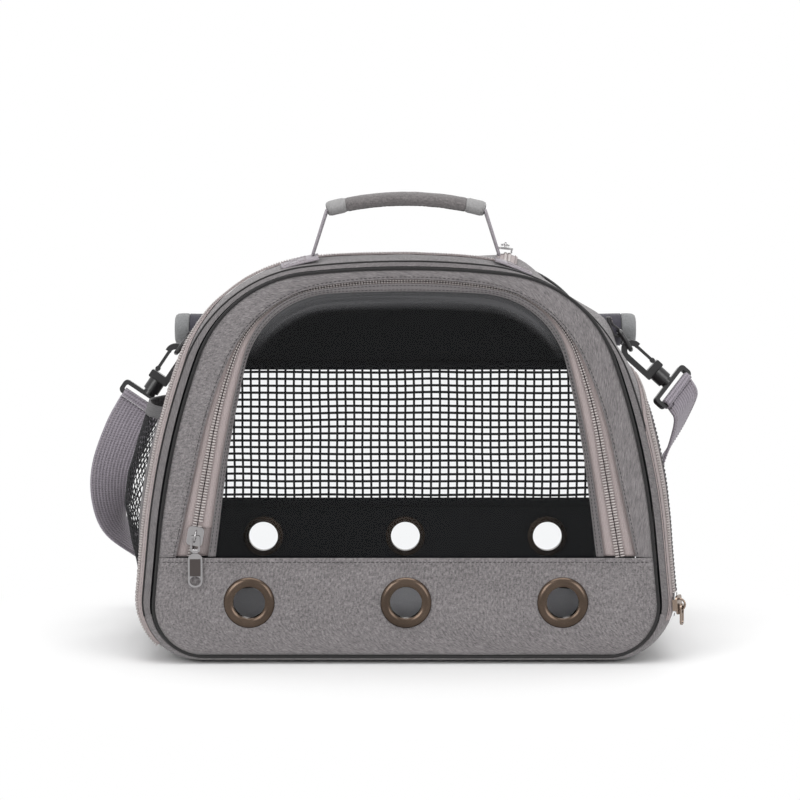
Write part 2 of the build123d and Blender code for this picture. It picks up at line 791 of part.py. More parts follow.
# Top zip slider with its puller, parked at the back end of the top zip
top_shape = gusset_arch(bulge_depth, 0)
top_arc_radius = top_shape["brow"][0] / cos(radians(shoulder_lean))
top_angle = zip_turn / top_arc_radius
top_normal = Vector(sin(top_angle), 0, cos(top_angle))
top_centre_z = top_shape["top"] - top_arc_radius
top_origin = Vector(0, front_y + zip_end_depth - slider_length / 2 - slider_stop, top_centre_z)
top_origin = top_origin + top_normal * (top_arc_radius + tape_top + coil_seat)
top_plane = Plane(origin=top_origin, x_dir=(cos(top_angle), 0, -sin(top_angle)), z_dir=tuple(top_normal))
keep("top_slider", top_plane * (side_body + bail_shape(side_top)))
top_crown = top_origin + top_normal * (side_top + pull_lift)
top_across = (-cos(top_angle), 0, sin(top_angle))
top_pull_plane = Plane(origin=top_crown, x_dir=top_across, z_dir=tuple(top_normal))
keep("top_puller", top_pull_plane * small_loop)
print("top slider", top_origin, "puller hinge", top_crown)

# Base board and padded mat on the floor of the cabin
board_z = front_bottom - piping_radius
board = fillet(Rectangle(2 * board_half_width, 2 * board_half_depth).vertices(), board_corner)
keep("base_board", Pos(0, 0, board_z) * extrude(board, amount=board_wall))
mat_z = board_z + board_wall + slack
mat_area = fillet(Rectangle(2 * mat_half_width, 2 * mat_half_depth).vertices(), board_corner)
mat_top = offset(mat_area, amount=-mat_height)
mat_low = Pos(0, 0, mat_z) * extrude(mat_area, amount=mat_height - mat_crown)
mat_wires = [
    (Pos(0, 0, mat_z + mat_height - mat_crown) * mat_area).wire(),
    (Pos(0, 0, mat_z + mat_height) * mat_top).wire(),
]
keep("floor_mat", mat_low + Solid.make_loft(mat_wires, ruled=True))

# Curtain rolled up above the back net, its bound ends and ties
roll_y = back_y + slack + roll_radius + piping_radius
axis_roll = Plane(origin=(0, roll_y, roll_height), z_dir=(1, 0, 0))
roll = extrude(axis_roll * Circle(roll_radius - roll_wrap), amount=roll_half_length, both=True)
keep("curtain_roll", roll)
ends = []
for side in (-1, 1):
    start = side * (roll_half_length + slack)
    end_plane = Plane(origin=(start, roll_y, roll_height), z_dir=(side, 0, 0))
    cap = extrude(end_plane * Circle(roll_radius), amount=roll_end_length)
    ends.append(fillet(cap.edges().group_by(Axis.X)[-1 if side > 0 else 0], roll_end_round))
group("curtain_ends", ends)
ties = []
for side in (-1, 1):
    tie_plane = Plane(origin=(side * tie_spacing, roll_y, roll_height), z_dir=(1, 0, 0))
    inner = roll_radius - roll_wrap + slack
    hoop = extrude(tie_plane * (Circle(inner + tie_wall) - Circle(inner)), amount=tie_width / 2, both=True)
    lug_y = back_y + slack
    lug = block(
        side * tie_spacing - tie_width / 2, side * tie_spacing + tie_width / 2,
        lug_y, roll_y, roll_height + inner, roll_height + inner + tie_wall,
    )
    ties.append(hoop + lug)
group("curtain_ties", ties)

# Mesh pocket on the left side, open at its top
pocket_step = (pocket_high - pocket_low) / (len(pocket_bulge) - 1)
pocket_heights = [pocket_low + pocket_step * k for k in range(len(pocket_bulge))]


def side_at(height):
    """Half width of the full gusset at a height, on its side."""
    shape = gusset_arch(bulge_depth, 0)
    (knee, radius, low, _), hip = shape["arcs"][0], shape["hip"]
    if height <= knee[1]:
        return knee[0] + (knee[1] - height) * sin(low) / cos(low)
    centre_z = knee[1] - radius * sin(low)
    centre_x = knee[0] - radius * cos(low)
    if height <= hip[1]:
        return centre_x + sqrt(radius**2 - (height - centre_z) ** 2)
    (_, small, high, _) = shape["arcs"][1]
    centre_x = hip[0] - small * cos(high)
    centre_z = hip[1] - small * sin(high)
    return centre_x + sqrt(small**2 - (height - centre_z) ** 2)


def pocket_wire(height, bulge, inset):
    """One crescent section of the pocket, outer or inner, at a height."""
    flat = -(side_at(height) + slack)
    y0 = pocket_front + inset
    y1 = pocket_back - inset
    reach = flat - bulge + inset
    bow = Edge.make_three_point_arc((flat, y0, height), (reach, (y0 + y1) / 2, height), (flat, y1, height))
    return Wire([bow, Edge.make_line((flat, y1, height), (flat, y0, height))])


def pocket_solid(heights, bulges, inset):
    wires = [pocket_wire(z, b, inset) for z, b in zip(heights, bulges)]
    return Solid.make_loft(wires, ruled=True)


pocket = pocket_solid(pocket_heights, pocket_bulge, 0)
hollow_heights = [pocket_low + pocket_floor] + pocket_heights[1:-1] + [pocket_high + pocket_floor]
hollow = pocket_solid(hollow_heights, pocket_bulge, pocket_wall)
pocket = pocket - hollow
hem_low = pocket_high - pocket_hem
keep("side_pocket_mesh", pocket & block(-wide, 0, -body_depth, body_depth, 0, hem_low))
keep("side_pocket_hem", pocket & block(-wide, 0, -body_depth, body_depth, hem_low + coil_seat, tall))

# Handle: sewn anchors, webbing legs, wrapped grip on a cord core, end caps
handle_arch = gusset_arch(handle_depth, 0)
crown_radius = handle_arch["brow"][0] / cos(radians(shoulder_lean))
foot_fall = crown_radius - sqrt(crown_radius**2 - (handle_base_half - handle_foot) ** 2)
seat_height = handle_arch["top"] - foot_fall + zip_surface + handle_webbing_wall
handle_hinge_height = seat_height + handle_clearance + handle_foot
print("handle hinge height", handle_hinge_height)
anchor_inner = handle_base_half - handle_foot
anchor_run = (handle_depth - handle_webbing / 2, 20.0, 27.0, bulge_depth,
              handle_depth + handle_webbing / 2)
anchor_layer = layer(anchor_run, zip_surface, zip_surface + handle_webbing_wall)
anchors = []
for side in (-1, 1):
    near, far = side * anchor_inner, side * (anchor_inner + anchor_reach)
    strip = block(min(near, far), max(near, far), -body_depth, 0, front_top / 2, tall)
    anchors.append(anchor_layer & strip)
group("handle_anchors", anchors)
leg_low = handle_hinge_height - handle_foot
legs = []
side_plane = Plane(origin=(0, handle_y, handle_hinge_height), x_dir=(0, 1, 0), z_dir=(1, 0, 0))
fan = Polyline(
    (-handle_foot, 0), (handle_foot, 0), (handle_webbing / 2, handle_fan),
    (handle_webbing / 2, front_top), (-handle_webbing / 2, front_top), (-handle_webbing / 2, handle_fan),
    close=True,
)
leg_profile = extrude(side_plane * (make_face(fan) + Circle(handle_foot)), amount=wide, both=True)
y0 = handle_y - handle_webbing / 2
leg_plane = Plane(origin=(0, y0, 0), x_dir=(1, 0, 0), z_dir=(0, -1, 0))
leg_top = handle_grip_height - handle_grip_drop + handle_webbing_wall
for side in (-1, 1):
    foot_x0 = side * handle_base_half
    head_x0 = side * (handle_top_half + leg_gap)
    wall_x = side * handle_webbing_wall
    points = [
        (foot_x0, leg_low), (foot_x0 + wall_x, leg_low),
        (head_x0 + wall_x, leg_top), (head_x0, leg_top),
    ]
    leg_face = leg_plane * make_face(Polyline(*points, close=True))
    leg = extrude(leg_face, amount=handle_webbing, dir=(0, 1, 0))
    legs.append(leg & leg_profile)
group("handle_legs", legs)
arc_radius = (handle_top_half**2 + handle_grip_drop**2) / (2 * handle_grip_drop)
arc_centre = handle_grip_height - arc_radius


def grip_point(x):
    """Point of the grip's centre line at x."""
    return (x, handle_y, arc_centre + sqrt(arc_radius**2 - x**2))


def grip_run(x0, x1, thick, deep, hollow_radius):
    """Oval sleeve of the grip between two x."""
    path = ThreePointArc(grip_point(x0), grip_point((x0 + x1) / 2), grip_point(x1))
    plane = Plane(origin=path @ 0, x_dir=(0, 1, 0), z_dir=path % 0)
    section = plane * (Ellipse(deep / 2, thick / 2) - Circle(hollow_radius))
    return sweep(section, path=path)


cap_start = handle_top_half - cap_length
keep("handle_grip", grip_run(-cap_start, cap_start, grip_thickness, grip_width, core_radius + core_play))
caps = []
for side in (-1, 1):
    x0, x1 = side * (cap_start + slack), side * handle_top_half
    thick, deep = grip_thickness + cap_proud, grip_width + cap_proud
    caps.append(grip_run(min(x0, x1), max(x0, x1), thick, deep, core_radius + core_play))
group("handle_caps", caps)
core_path = ThreePointArc(grip_point(-handle_top_half), grip_point(0), grip_point(handle_top_half))
core_plane = Plane(origin=core_path @ 0, z_dir=core_path % 0)
keep("handle_core", sweep(core_plane * Circle(core_radius), path=core_path))


def hook_frame(side):
    """Plane of a hook: its x points to the gate's side, its y from the swivel to the nose."""
    x, z = hook_left if side < 0 else hook_right
    angle = radians(hook_axis_left if side < 0 else hook_axis_right)
    gate_way = (side * sin(angle), 0, cos(angle))
    return Plane(origin=(x, hook_y, z), x_dir=gate_way, z_dir=(0, -side, 0))


def both_ways(plane, face, wall):
    return extrude(plane * face, amount=wall / 2, both=True)


def drilled(plane, radius, low, high):
    """Round bar along the hook's own axis between two stations."""
    start = plane.origin + plane.y_dir * low
    bar_plane = Plane(origin=start, z_dir=plane.y_dir)
    return extrude(bar_plane * Circle(radius), amount=high - low)


# Hooks, gates, swivel rings, D-rings and their tabs
tongue = hook_outer - hook_inner
hooks = []
d_rings = []
tabs = []
strap_ends = []
for side, word in ((-1, "left"), (1, "right")):
    plane = hook_frame(side)
    nose = Circle(hook_outer) - Circle(hook_inner)
    nose = nose - Pos(hook_outer, -hook_outer - hook_mouth) * Rectangle(4 * hook_outer, 2 * hook_outer)
    base = fillet(Rectangle(2 * hook_outer, hook_base).vertices(), hook_round)
    spine = Rectangle(tongue, hook_nose - 1)
    outline = Pos(0, hook_nose) * nose + Pos(-hook_outer + tongue / 2, (hook_nose + 1) / 2) * spine
    outline = outline + Pos(0, hook_base / 2) * base
    body = both_ways(plane, outline, hook_wall)
    barrel = drilled(plane, barrel_radius, -barrel_length, 0.5)
    body = body + barrel
    bore = drilled(plane, post_radius + post_clearance, -barrel_length - 1, -1.5)
    hooks.append(body - bore)
    gate_x = hook_inner + gate_wall / 2 + gate_inset
    gate_low = hook_base + slack + gate_knuckle
    gate_high = hook_nose - hook_mouth - slack
    knuckle = Pos(gate_x, gate_low) * Circle(gate_knuckle)
    blade = Pos(gate_x, (gate_low + gate_high) / 2) * Rectangle(gate_wall, gate_high - gate_low)
    keep(word + "_gate", both_ways(plane, knuckle + blade, hook_wall - 2))
    top_bar = -barrel_length - ring_neck
    ring_height = 2 * ring_bar + ring_slot
    frame = fillet(Rectangle(2 * (ring_half_inner + ring_bar), ring_height).vertices(), ring_round)
    slot = fillet(Rectangle(2 * ring_half_inner, ring_slot).vertices(), ring_slot_round)
    turn = radians(hook_turn_left if side < 0 else hook_turn_right)
    ring_x = plane.x_dir * cos(turn) - plane.z_dir * sin(turn)
    turned = Plane(origin=plane.origin, x_dir=tuple(ring_x), z_dir=tuple(ring_x.cross(plane.y_dir)))
    ring = both_ways(turned, Pos(0, top_bar - ring_height / 2) * (frame - slot), ring_wall)
    post = drilled(plane, post_radius, top_bar - 1, -2.0)
    collar = drilled(plane, post_radius + collar_wall, top_bar - 1, -barrel_length - slack)
    keep(word + "_swivel", ring + post + collar)
    bar_mid = top_bar - ring_bar * 1.5 - ring_slot
    loop_in = Rectangle(ring_bar + 2 * slack, ring_wall + 2 * slack)
    loop_wrap = 2 * (slack + webbing_wall)
    loop_out = fillet(Rectangle(ring_bar + loop_wrap, ring_wall + loop_wrap).vertices(), loop_round)
    loop_plane = Plane(
        origin=plane.origin + plane.y_dir * bar_mid, x_dir=tuple(plane.y_dir), z_dir=tuple(ring_x)
    )
    loop_end = bar_mid - ring_bar / 2 - slack - webbing_wall
    strap_ends.append((plane.origin + plane.y_dir * (loop_end - strap_end_gap), ring_x * side, plane.y_dir))
    keep(word + "_strap_loop", both_ways(loop_plane, loop_out - loop_in, webbing_width))
    apex = plane.origin + plane.y_dir * (hook_nose + hook_inner - d_ring_wire - 3 * slack)
    surface_x = side_at(apex.Z)
    angle = radians(side_lean_high)
    normal = Vector(side * cos(angle), 0, sin(angle))
    climb = Vector(-side * sin(angle), 0, cos(angle))
    clear = (abs(apex.X) - surface_x) * cos(angle)
    tab_radius = d_ring_wire + slack + handle_webbing_wall
    drop = clear - tab_radius - 2 * slack
    bar = apex - normal * drop + climb * sqrt(d_ring_reach**2 - drop**2)
    reach = (apex - bar).normalized()
    ring_plane = Plane(origin=bar, x_dir=(0, 1, 0), z_dir=tuple(Vector(0, 1, 0).cross(reach)))
    half = d_ring_half_width
    corner = d_ring_corner
    cut = corner * (1 - sin(radians(45)))
    leg = d_ring_reach - half
    outline = [
        Line((-half + corner, 0), (half - corner, 0)),
        ThreePointArc((half - corner, 0), (half - cut, cut), (half, corner)),
        Line((half, corner), (half, leg)),
        ThreePointArc((half, leg), (0, leg + half), (-half, leg)),
        Line((-half, leg), (-half, corner)),
        ThreePointArc((-half, corner), (-half + cut, cut), (-half + corner, 0)),
    ]
    path = ring_plane * Wire([edge for line in outline for edge in line.edges()])
    path_start = path.position_at(0)
    section = Plane(origin=path_start, z_dir=path.tangent_at(0)) * Circle(d_ring_wire)
    d_rings.append(sweep(section, path=path))
    tab_plane = Plane(origin=bar, x_dir=tuple(climb), z_dir=(0, side, 0))
    sleeve = Circle(tab_radius) - Circle(d_ring_wire + slack)
    lap_drop = tab_radius - handle_webbing_wall / 2
    lap = Pos(tab_length / 2, -lap_drop) * Rectangle(tab_length, handle_webbing_wall)
    eye = Circle(d_ring_wire + slack)
    tabs.append(both_ways(tab_plane, sleeve + lap - eye, tab_width))
    pivot = plane.origin + plane.x_dir * gate_x + plane.y_dir * gate_low
    print(word, "hook nose", apex, "ring bar", bar, "gate pivot", pivot, "axis", plane.y_dir)


group("hooks", hooks)
group("d_rings", d_rings)
group("ring_tabs", tabs)


def strap_stations(route):
    """Smooth run of centres and width directions through the strap's own points."""
    count = len(route)
    rows = []
    for k in range(count - 1):
        ends = [route[max(k - 1, 0)], route[k], route[k + 1], route[min(k + 2, count - 1)]]
        for step in range(strap_steps):
            t = step / strap_steps
            weights = (
                (-t + 2 * t**2 - t**3) / 2, (2 - 5 * t**2 + 3 * t**3) / 2,
                (t + 4 * t**2 - 3 * t**3) / 2, (t**3 - t**2) / 2,
            )
            row = []
            for part in (0, 1):
                total = Vector(0, 0, 0)
                for weight, end in zip(weights, ends):
                    total = total + end[part] * weight
                row.append(total)
            rows.append(row)
    rows.append(list(route[-1]))
    return rows


def strap_wire(centre, width_way, tangent, width, wall):
    """Rectangle across the strap at one station."""
    across = (width_way - tangent * width_way.dot(tangent)).normalized() * (width / 2)
    through = tangent.cross(across).normalized() * (wall / 2)
    corners = [
        centre + across + through, centre - across + through,
        centre - across - through, centre + across - through,
    ]
    return Wire.make_polygon([tuple(corner) for corner in corners], close=True)


(left_end, left_way, left_axis), (right_end, right_way, right_axis) = strap_ends
route = [(Vector(*centre), Vector(*way)) for centre, way in strap_route]
route = [(left_end, left_way)] + route + [(right_end, right_way)]
stations = strap_stations(route)
wires = []
length = 0.0
for k, (centre, way) in enumerate(stations):
    before = stations[max(k - 1, 0)][0]
    after = stations[min(k + 1, len(stations) - 1)][0]
    tangent = (after - before).normalized()
    if k == 0:
        tangent = left_axis * -1
    if k == len(stations) - 1:
        tangent = right_axis
    wires.append(strap_wire(centre, way, tangent, webbing_width, webbing_wall))
    if k:
        length = length + (centre - before).length
print("strap length", round(length, 1))
keep("shoulder_strap", Solid.make_loft(wires, ruled=True))
place, way = (Vector(*part) for part in strap_route[adjuster_station])
before, after = (Vector(*strap_route[adjuster_station + step][0]) for step in (-1, 1))
ahead = (after - before).normalized()
across = (way - ahead * way.dot(ahead)).normalized()
buckle_plane = Plane(origin=place, x_dir=tuple(across), z_dir=tuple(ahead.cross(across)))
outer = fillet(Rectangle(webbing_width + 2 * adjuster_bar, adjuster_length).vertices(), adjuster_round)
window = Rectangle(webbing_width + 2 * adjuster_play, (adjuster_length - 3 * adjuster_bar) / 2)
window_shift = (adjuster_length - adjuster_bar) / 4
bars = Pos(0, window_shift) * window + Pos(0, -window_shift) * window
frame = both_ways(buckle_plane, outer, webbing_wall + 2 * (adjuster_play + adjuster_wall))
slot = Rectangle(webbing_width + 2 * adjuster_play, 2 * adjuster_length)
frame = frame - both_ways(buckle_plane, slot, webbing_wall + 2 * adjuster_play)
keep("strap_adjuster", frame - both_ways(buckle_plane, bars, 4 * adjuster_bar))

os.makedirs("parts", exist_ok=True)
for name, shape in nodes.items():
    export_step(shape, "parts/" + name + ".step")
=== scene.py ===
import json
from math import atan2, cos, degrees, exp, pi, radians, sin, sqrt, tan

import bpy
import numpy as np
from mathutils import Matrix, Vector, noise


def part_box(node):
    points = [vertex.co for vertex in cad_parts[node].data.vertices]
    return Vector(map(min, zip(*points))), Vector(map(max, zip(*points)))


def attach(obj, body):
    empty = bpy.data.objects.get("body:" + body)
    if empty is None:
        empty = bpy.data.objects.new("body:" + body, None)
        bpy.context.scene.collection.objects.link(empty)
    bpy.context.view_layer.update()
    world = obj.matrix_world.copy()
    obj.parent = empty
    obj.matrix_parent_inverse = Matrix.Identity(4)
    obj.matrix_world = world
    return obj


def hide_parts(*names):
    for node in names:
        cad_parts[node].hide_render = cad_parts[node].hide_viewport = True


# Pet sling carrier: the soft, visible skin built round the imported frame.
# Lengths are in millimetres in the frame's own axes and are turned into metres when a mesh is made.

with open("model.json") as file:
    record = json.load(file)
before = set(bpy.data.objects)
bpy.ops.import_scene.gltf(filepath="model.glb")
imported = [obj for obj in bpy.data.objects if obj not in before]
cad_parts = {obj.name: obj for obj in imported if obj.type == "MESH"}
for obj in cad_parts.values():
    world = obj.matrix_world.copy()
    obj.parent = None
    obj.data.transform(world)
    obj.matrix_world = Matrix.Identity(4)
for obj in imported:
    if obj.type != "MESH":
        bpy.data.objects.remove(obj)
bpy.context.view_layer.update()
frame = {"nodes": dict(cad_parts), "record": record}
MM = 0.001

# Shape of the bag
DEPTH = 240.0
FRONT = -DEPTH / 2
BACK = DEPTH / 2
PIPING = dict(half=197.9, bottom=6.0, top=310.6, corner=40.0, straight=50.0, low=5.5, high=19.5, crown=84.0,
              shoulder=99.0)
PIPING_RADIUS = 1.25
CORD_SIDES = 10
PIPING_LAP = -1.2
SIDE_BULGE = 16.0
TOP_BULGE = 9.4
BULGE_DEPTH = 35.0
LEFT_EASE = 14.0
RIGHT_EASE = 50.0
TOP_FALL = 4.0
HELD_OUT = ((82.0, 30.5, 313.0), (-175.0, 85.0, 246.0), (171.0, 85.0, 248.0))
HELD_REACH = 60.0
HELD_WIDTH = 28.0
BAND_DEPTH = 5.4
SEAM = 85.0
TRAY = 34.0
FLOOR_PRESS = 0.4
WALL = 2.0

# Window outlines: half width at the seam, top, straight run, the three leans, shoulder radius
OPENING = (180.0, 302.3, 90.0, 12.5, 25.0, 81.5, 99.0)
COIL = (167.6, 300.7, 90.0, 10.1, 20.0, 80.5, 80.0)
BINDING = (155.0, 299.0, 50.0, 8.2, 14.6, 81.5, 68.2)
WINDOW = (148.9, 292.8, 50.0, 7.0, 13.4, 86.5, 71.7)
COIL_LOW = 7.6
COIL_TOP = 1.5
TAPER_FROM = 150.0
TAPER_RUN = 120.0
COIL_PITCH = 2.1
WINDOW_PITCH = 2.2
COIL_LIFT = -1.55
TAPE_LIFT = -2.9
SLIDER_TOP = 107.0
SLIDER_GAP = (109.5, 112.0)
STUB_TOP = 110.6

# Side door, long zip, pocket, net, eyelets, mat, curtain, handle and strap
DOOR = dict(front=12.0, back=182.0, low=34.3, top=222.0, corner=40.0)
DOOR_FOOT = 54.0
DOOR_SIDE = 120.0
DOOR_CUT = (-96.6, 53.8)
ZIP_DEPTH = 14.0
ZIP_TOP_DEPTH = 54.0
ZIP_JOG = (-165.0, -122.0)
ZIP_TURN = 82.0
ZIP_END = 160.0
ZIP_FOOT = 14.5
POCKET = dict(front=-70.0, back=60.0, low=55.0, high=198.0, bulge=(3.0, 13.0, 21.0, 22.0, 19.0, 17.0))
POCKET_CELL = 6.4
POCKET_SLOPE = 0.75
SKIN_STEPS = 60
NET = dict(bottom=99.0, top=217.0, half_bottom=170.0, half_top=150.0, corner=12.0, columns=43, rows=20)
NET_Y = 116.9
EYELETS = (-122.8, 0.0, 122.8)
FRONT_EYELET = 49.0
BACK_EYELET = 69.0
MAT_HALF = (174, 106)
QUILT_PITCH = 60
ROLL = dict(y=135.8, z=247.0, radius=14.0, half=186.0)
TIE_X = 120
TIE_HALF = 10
HANDLE_DEPTH = 27.0
HANDLE_Y = FRONT + HANDLE_DEPTH
ANCHOR_ENDS = (69.0, 98.0)
GRIP_TOP = 364.0
GRIP_HALF = 61.0
GRIP_RISE = 8.0
TIP_END = 61.8
LEG_SPREAD = (74.0, 62.2)
STRAP_WIDTH = 38.0
STRAP_WALL = 1.8
BAR_REACH = 10 + 2.4 + 3.6 * 1.5 + 5.4
BAR_THICK = 3.6
BAR_WIDE = 4.8
LOOP_GAP = 0.6
LOOP_WALL = 1.6
RIGHT_TURN = 35.0
TAB_HALF = 8.5
RING_LEAN = 19.5
RING_REACH = 19.0
RING_LIFT = 4.3 + 0.6


# Small helpers for paths
def rough(x, y, z):
    """Smooth noise between -1 and 1."""
    return noise.noise(Vector((x, y, z)))


def bump(value, centre, width):
    return np.exp(-(((value - centre) / width) ** 2))


def power(value, exponent):
    """Power of a number that keeps its sign."""
    return abs(value) ** exponent * (1 if value > 0 else -1)


def unit(vectors):
    vectors = np.asarray(vectors, dtype=float)
    return vectors / np.maximum(np.linalg.norm(vectors, axis=-1, keepdims=True), 1e-9)


def tangents(points):
    return unit(np.gradient(np.asarray(points, dtype=float), axis=0))


def left_of(path):
    """Unit steps to the left of a flat path."""
    along = tangents(path)
    return np.stack([-along[:, 1], along[:, 0]], axis=1)


def distances(points):
    """Distance along a polyline to each of its points."""
    return np.concatenate([[0], np.cumsum(np.linalg.norm(np.diff(points, axis=0), axis=1))])


def looked_up(at, places, rows):
    """Rows of numbers read between their places."""
    return np.stack([np.interp(at, places, column) for column in rows.T], axis=1)


def by_share(points, count):
    """Points at even shares of a polyline's length."""
    points = np.asarray(points, dtype=float)
    places = distances(points)
    return looked_up(np.linspace(0, places[-1], count), places, points)


def resample(points, step):
    """Points at even steps along a polyline."""
    points = np.asarray(points, dtype=float)
    return by_share(points, max(int(round(distances(points)[-1] / step)), 1) + 1)


def corner_curve(before, here, after, reach, count):
    """Points of a curve that rounds a corner off, from a reach before it to a reach after it."""
    first, last = here + unit(before - here) * reach, here + unit(after - here) * reach
    return [(1 - t) ** 2 * first + 2 * t * (1 - t) * here + t * t * last for t in np.linspace(0, 1, count)]


# Small helpers for meshes
def turned(verts, faces, facing):
    """Faces turned as one so that most of them look a given way, or away from the bag's middle."""
    a, b, c = (verts[[face[k] for face in faces]] for k in range(3))
    way = (a + b + c) / 3 - (0.0, 0.0, 150.0) if facing == "out" else np.asarray(facing, dtype=float)
    return faces if np.sum(np.cross(b - a, c - a) * way) > 0 else [face[::-1] for face in faces]


def put(name, verts, faces, materials, body, nodes=(), uvs=None, slot=None, facing=None, wall=0.0, inner=0,
        outward=-1.0):
    """Makes one piece that rides on a body in place of CAD nodes; inner is the material step of its wall's far side."""
    if facing is not None:
        faces = turned(verts, faces, facing)
    mesh = bpy.data.meshes.new(name)
    mesh.from_pydata([tuple(float(c) * MM for c in v) for v in verts], [], [tuple(int(i) for i in f) for f in faces])
    if uvs is not None:
        loops = np.empty(len(mesh.loops), dtype=np.int64)
        mesh.loops.foreach_get("vertex_index", loops)
        layer = mesh.uv_layers.new(name="UVMap")
        layer.data.foreach_set("uv", np.asarray(uvs, dtype=float)[loops].ravel())
    for material in materials if isinstance(materials, list) else [materials]:
        mesh.materials.append(material)
    mesh.polygons.foreach_set("use_smooth", [True] * len(mesh.polygons))
    mesh.update()
    piece = bpy.data.objects.new(name, mesh)
    bpy.context.scene.collection.objects.link(piece)
    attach(piece, body)
    if nodes:
        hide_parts(*nodes)
    if wall:
        modifier = piece.modifiers.new("thickness", "SOLIDIFY")
        modifier.thickness = wall * MM
        modifier.offset = outward
        modifier.material_offset = inner
        modifier.use_even_offset = True
    return piece


def grid(points, mask=None, closed_rows=False, closed_columns=False):
    """Vertices and quads of a rows by columns array of points, with a mask of the quads to keep."""
    points = np.asarray(points, dtype=float)
    rows, columns = points.shape[:2]
    faces = []
    for r in range(rows if closed_rows else rows - 1):
        for c in range(columns if closed_columns else columns - 1):
            if mask is None or mask[r, c]:
                r1, c1 = (r + 1) % rows, (c + 1) % columns
                faces.append((r * columns + c, r * columns + c1, r1 * columns + c1, r1 * columns + c))
    return points.reshape(-1, 3), faces


def grid_uv(points):
    """UV in metres: distance along each row and each column of a grid of points."""
    points = np.asarray(points, dtype=float)
    along = np.zeros(points.shape[:2])
    across = np.zeros(points.shape[:2])
    along[:, 1:] = np.cumsum(np.linalg.norm(np.diff(points, axis=1), axis=2), axis=1)
    across[1:, :] = np.cumsum(np.linalg.norm(np.diff(points, axis=0), axis=2), axis=0)
    return np.stack([along, across], axis=2).reshape(-1, 2) * MM


def caps(count, sides):
    """End faces of a run of rings."""
    return [tuple(range(sides))[::-1], tuple(range(count - sides, count))]


def cells(rows, test):
    """Mask of a grid's quads, from a test of the middle of each."""
    return np.array([[test(c) for c in row] for row in (rows[:-1, :-1] + rows[1:, 1:]) / 2])


def joined(parts):
    """Vertices and faces of several meshes as one."""
    verts, faces, start = [], [], 0
    for part_verts, part_faces in parts:
        verts.append(part_verts)
        faces += [tuple(start + i for i in f) for f in part_faces]
        start += len(part_verts)
    return np.concatenate(verts), faces


def woven(name, rows, materials, body, nodes=(), mask=None, closed_columns=False, uvs=None, **more):
    """Piece whose mesh is a grid of points, with UV in metres along and across it unless given."""
    verts, faces = grid(rows, mask, False, closed_columns)
    return put(name, verts, faces, materials, body, nodes, grid_uv(rows) if uvs is None else uvs, **more)


def tube(name, points, radius, nodes=(), closed=False):
    """Round piping cord along points."""
    along = unit(np.roll(points, -1, axis=0) - np.roll(points, 1, axis=0)) if closed else tangents(points)
    side = unit(np.cross(along, (0.0, 1.0, 0.0)) + 1e-6)
    over = np.cross(side, along)
    angles = np.linspace(0, 2 * pi, CORD_SIDES, endpoint=False)
    rings = [[p + radius * (cos(a) * s + sin(a) * o) for a in angles] for p, s, o in zip(points, side, over)]
    verts, faces = grid(rings, None, closed, True)
    if not closed:
        faces += caps(len(verts), CORD_SIDES)
    put(name, verts, faces, piping, "bag", nodes, grid_uv(rings), slot="piping")


def teeth(name, centres, along, across, normal, size, material, body, nodes=(), slot=None):
    """Row of small ellipsoids, one at each centre."""
    polar, turns = (np.arange(5) + 0.5) * pi / 5, np.arange(6) * pi / 3
    template, faces = grid([[(cos(p), sin(p) * cos(t), sin(p) * sin(t)) for t in turns] for p in polar],
                           closed_columns=True)
    faces += caps(30, 6)
    parts = []
    for k, centre in enumerate(centres):
        width, length, height = size[k] if np.ndim(size) == 2 else size
        basis = np.stack([across[k] * width / 2, along[k] * length / 2, normal[k] * height / 2])
        parts.append((centre + template @ basis, faces))
    return put(name, *joined(parts), material, body, nodes, slot=slot)


def coil_turns(name, points, ups, size, body, node_name):
    """Turns of a zip's coil across a path."""
    along = tangents(points)
    teeth(name, points, along, unit(np.cross(ups, along)), ups, size, coil, body, [node_name], "coil")


def stitches(name, points, normals, material, body, pitch=3.4, length=2.4, lift=0.12, width=0.6):
    """Run of stitches along a path, each a short rounded dash lying on the cloth."""
    points = np.asarray(points, dtype=float)
    places = distances(points)
    rows = looked_up(np.arange(pitch / 2, places[-1], pitch), places, np.concatenate([points, normals], axis=1))
    centres, ups = rows[:, :3], unit(rows[:, 3:])
    along = tangents(centres)
    teeth(name, centres + ups * lift, along, np.cross(ups, along), ups, (width, length, width), material, body)


# Outline of the bag and of the window
def arc(start, radius, first, last, count):
    angles = np.linspace(first, last, count)
    centre = np.array([start[0] - radius * cos(first), start[1] - radius * sin(first)])
    normals = np.stack([np.cos(angles), np.sin(angles)], axis=1)
    return centre + radius * normals, normals


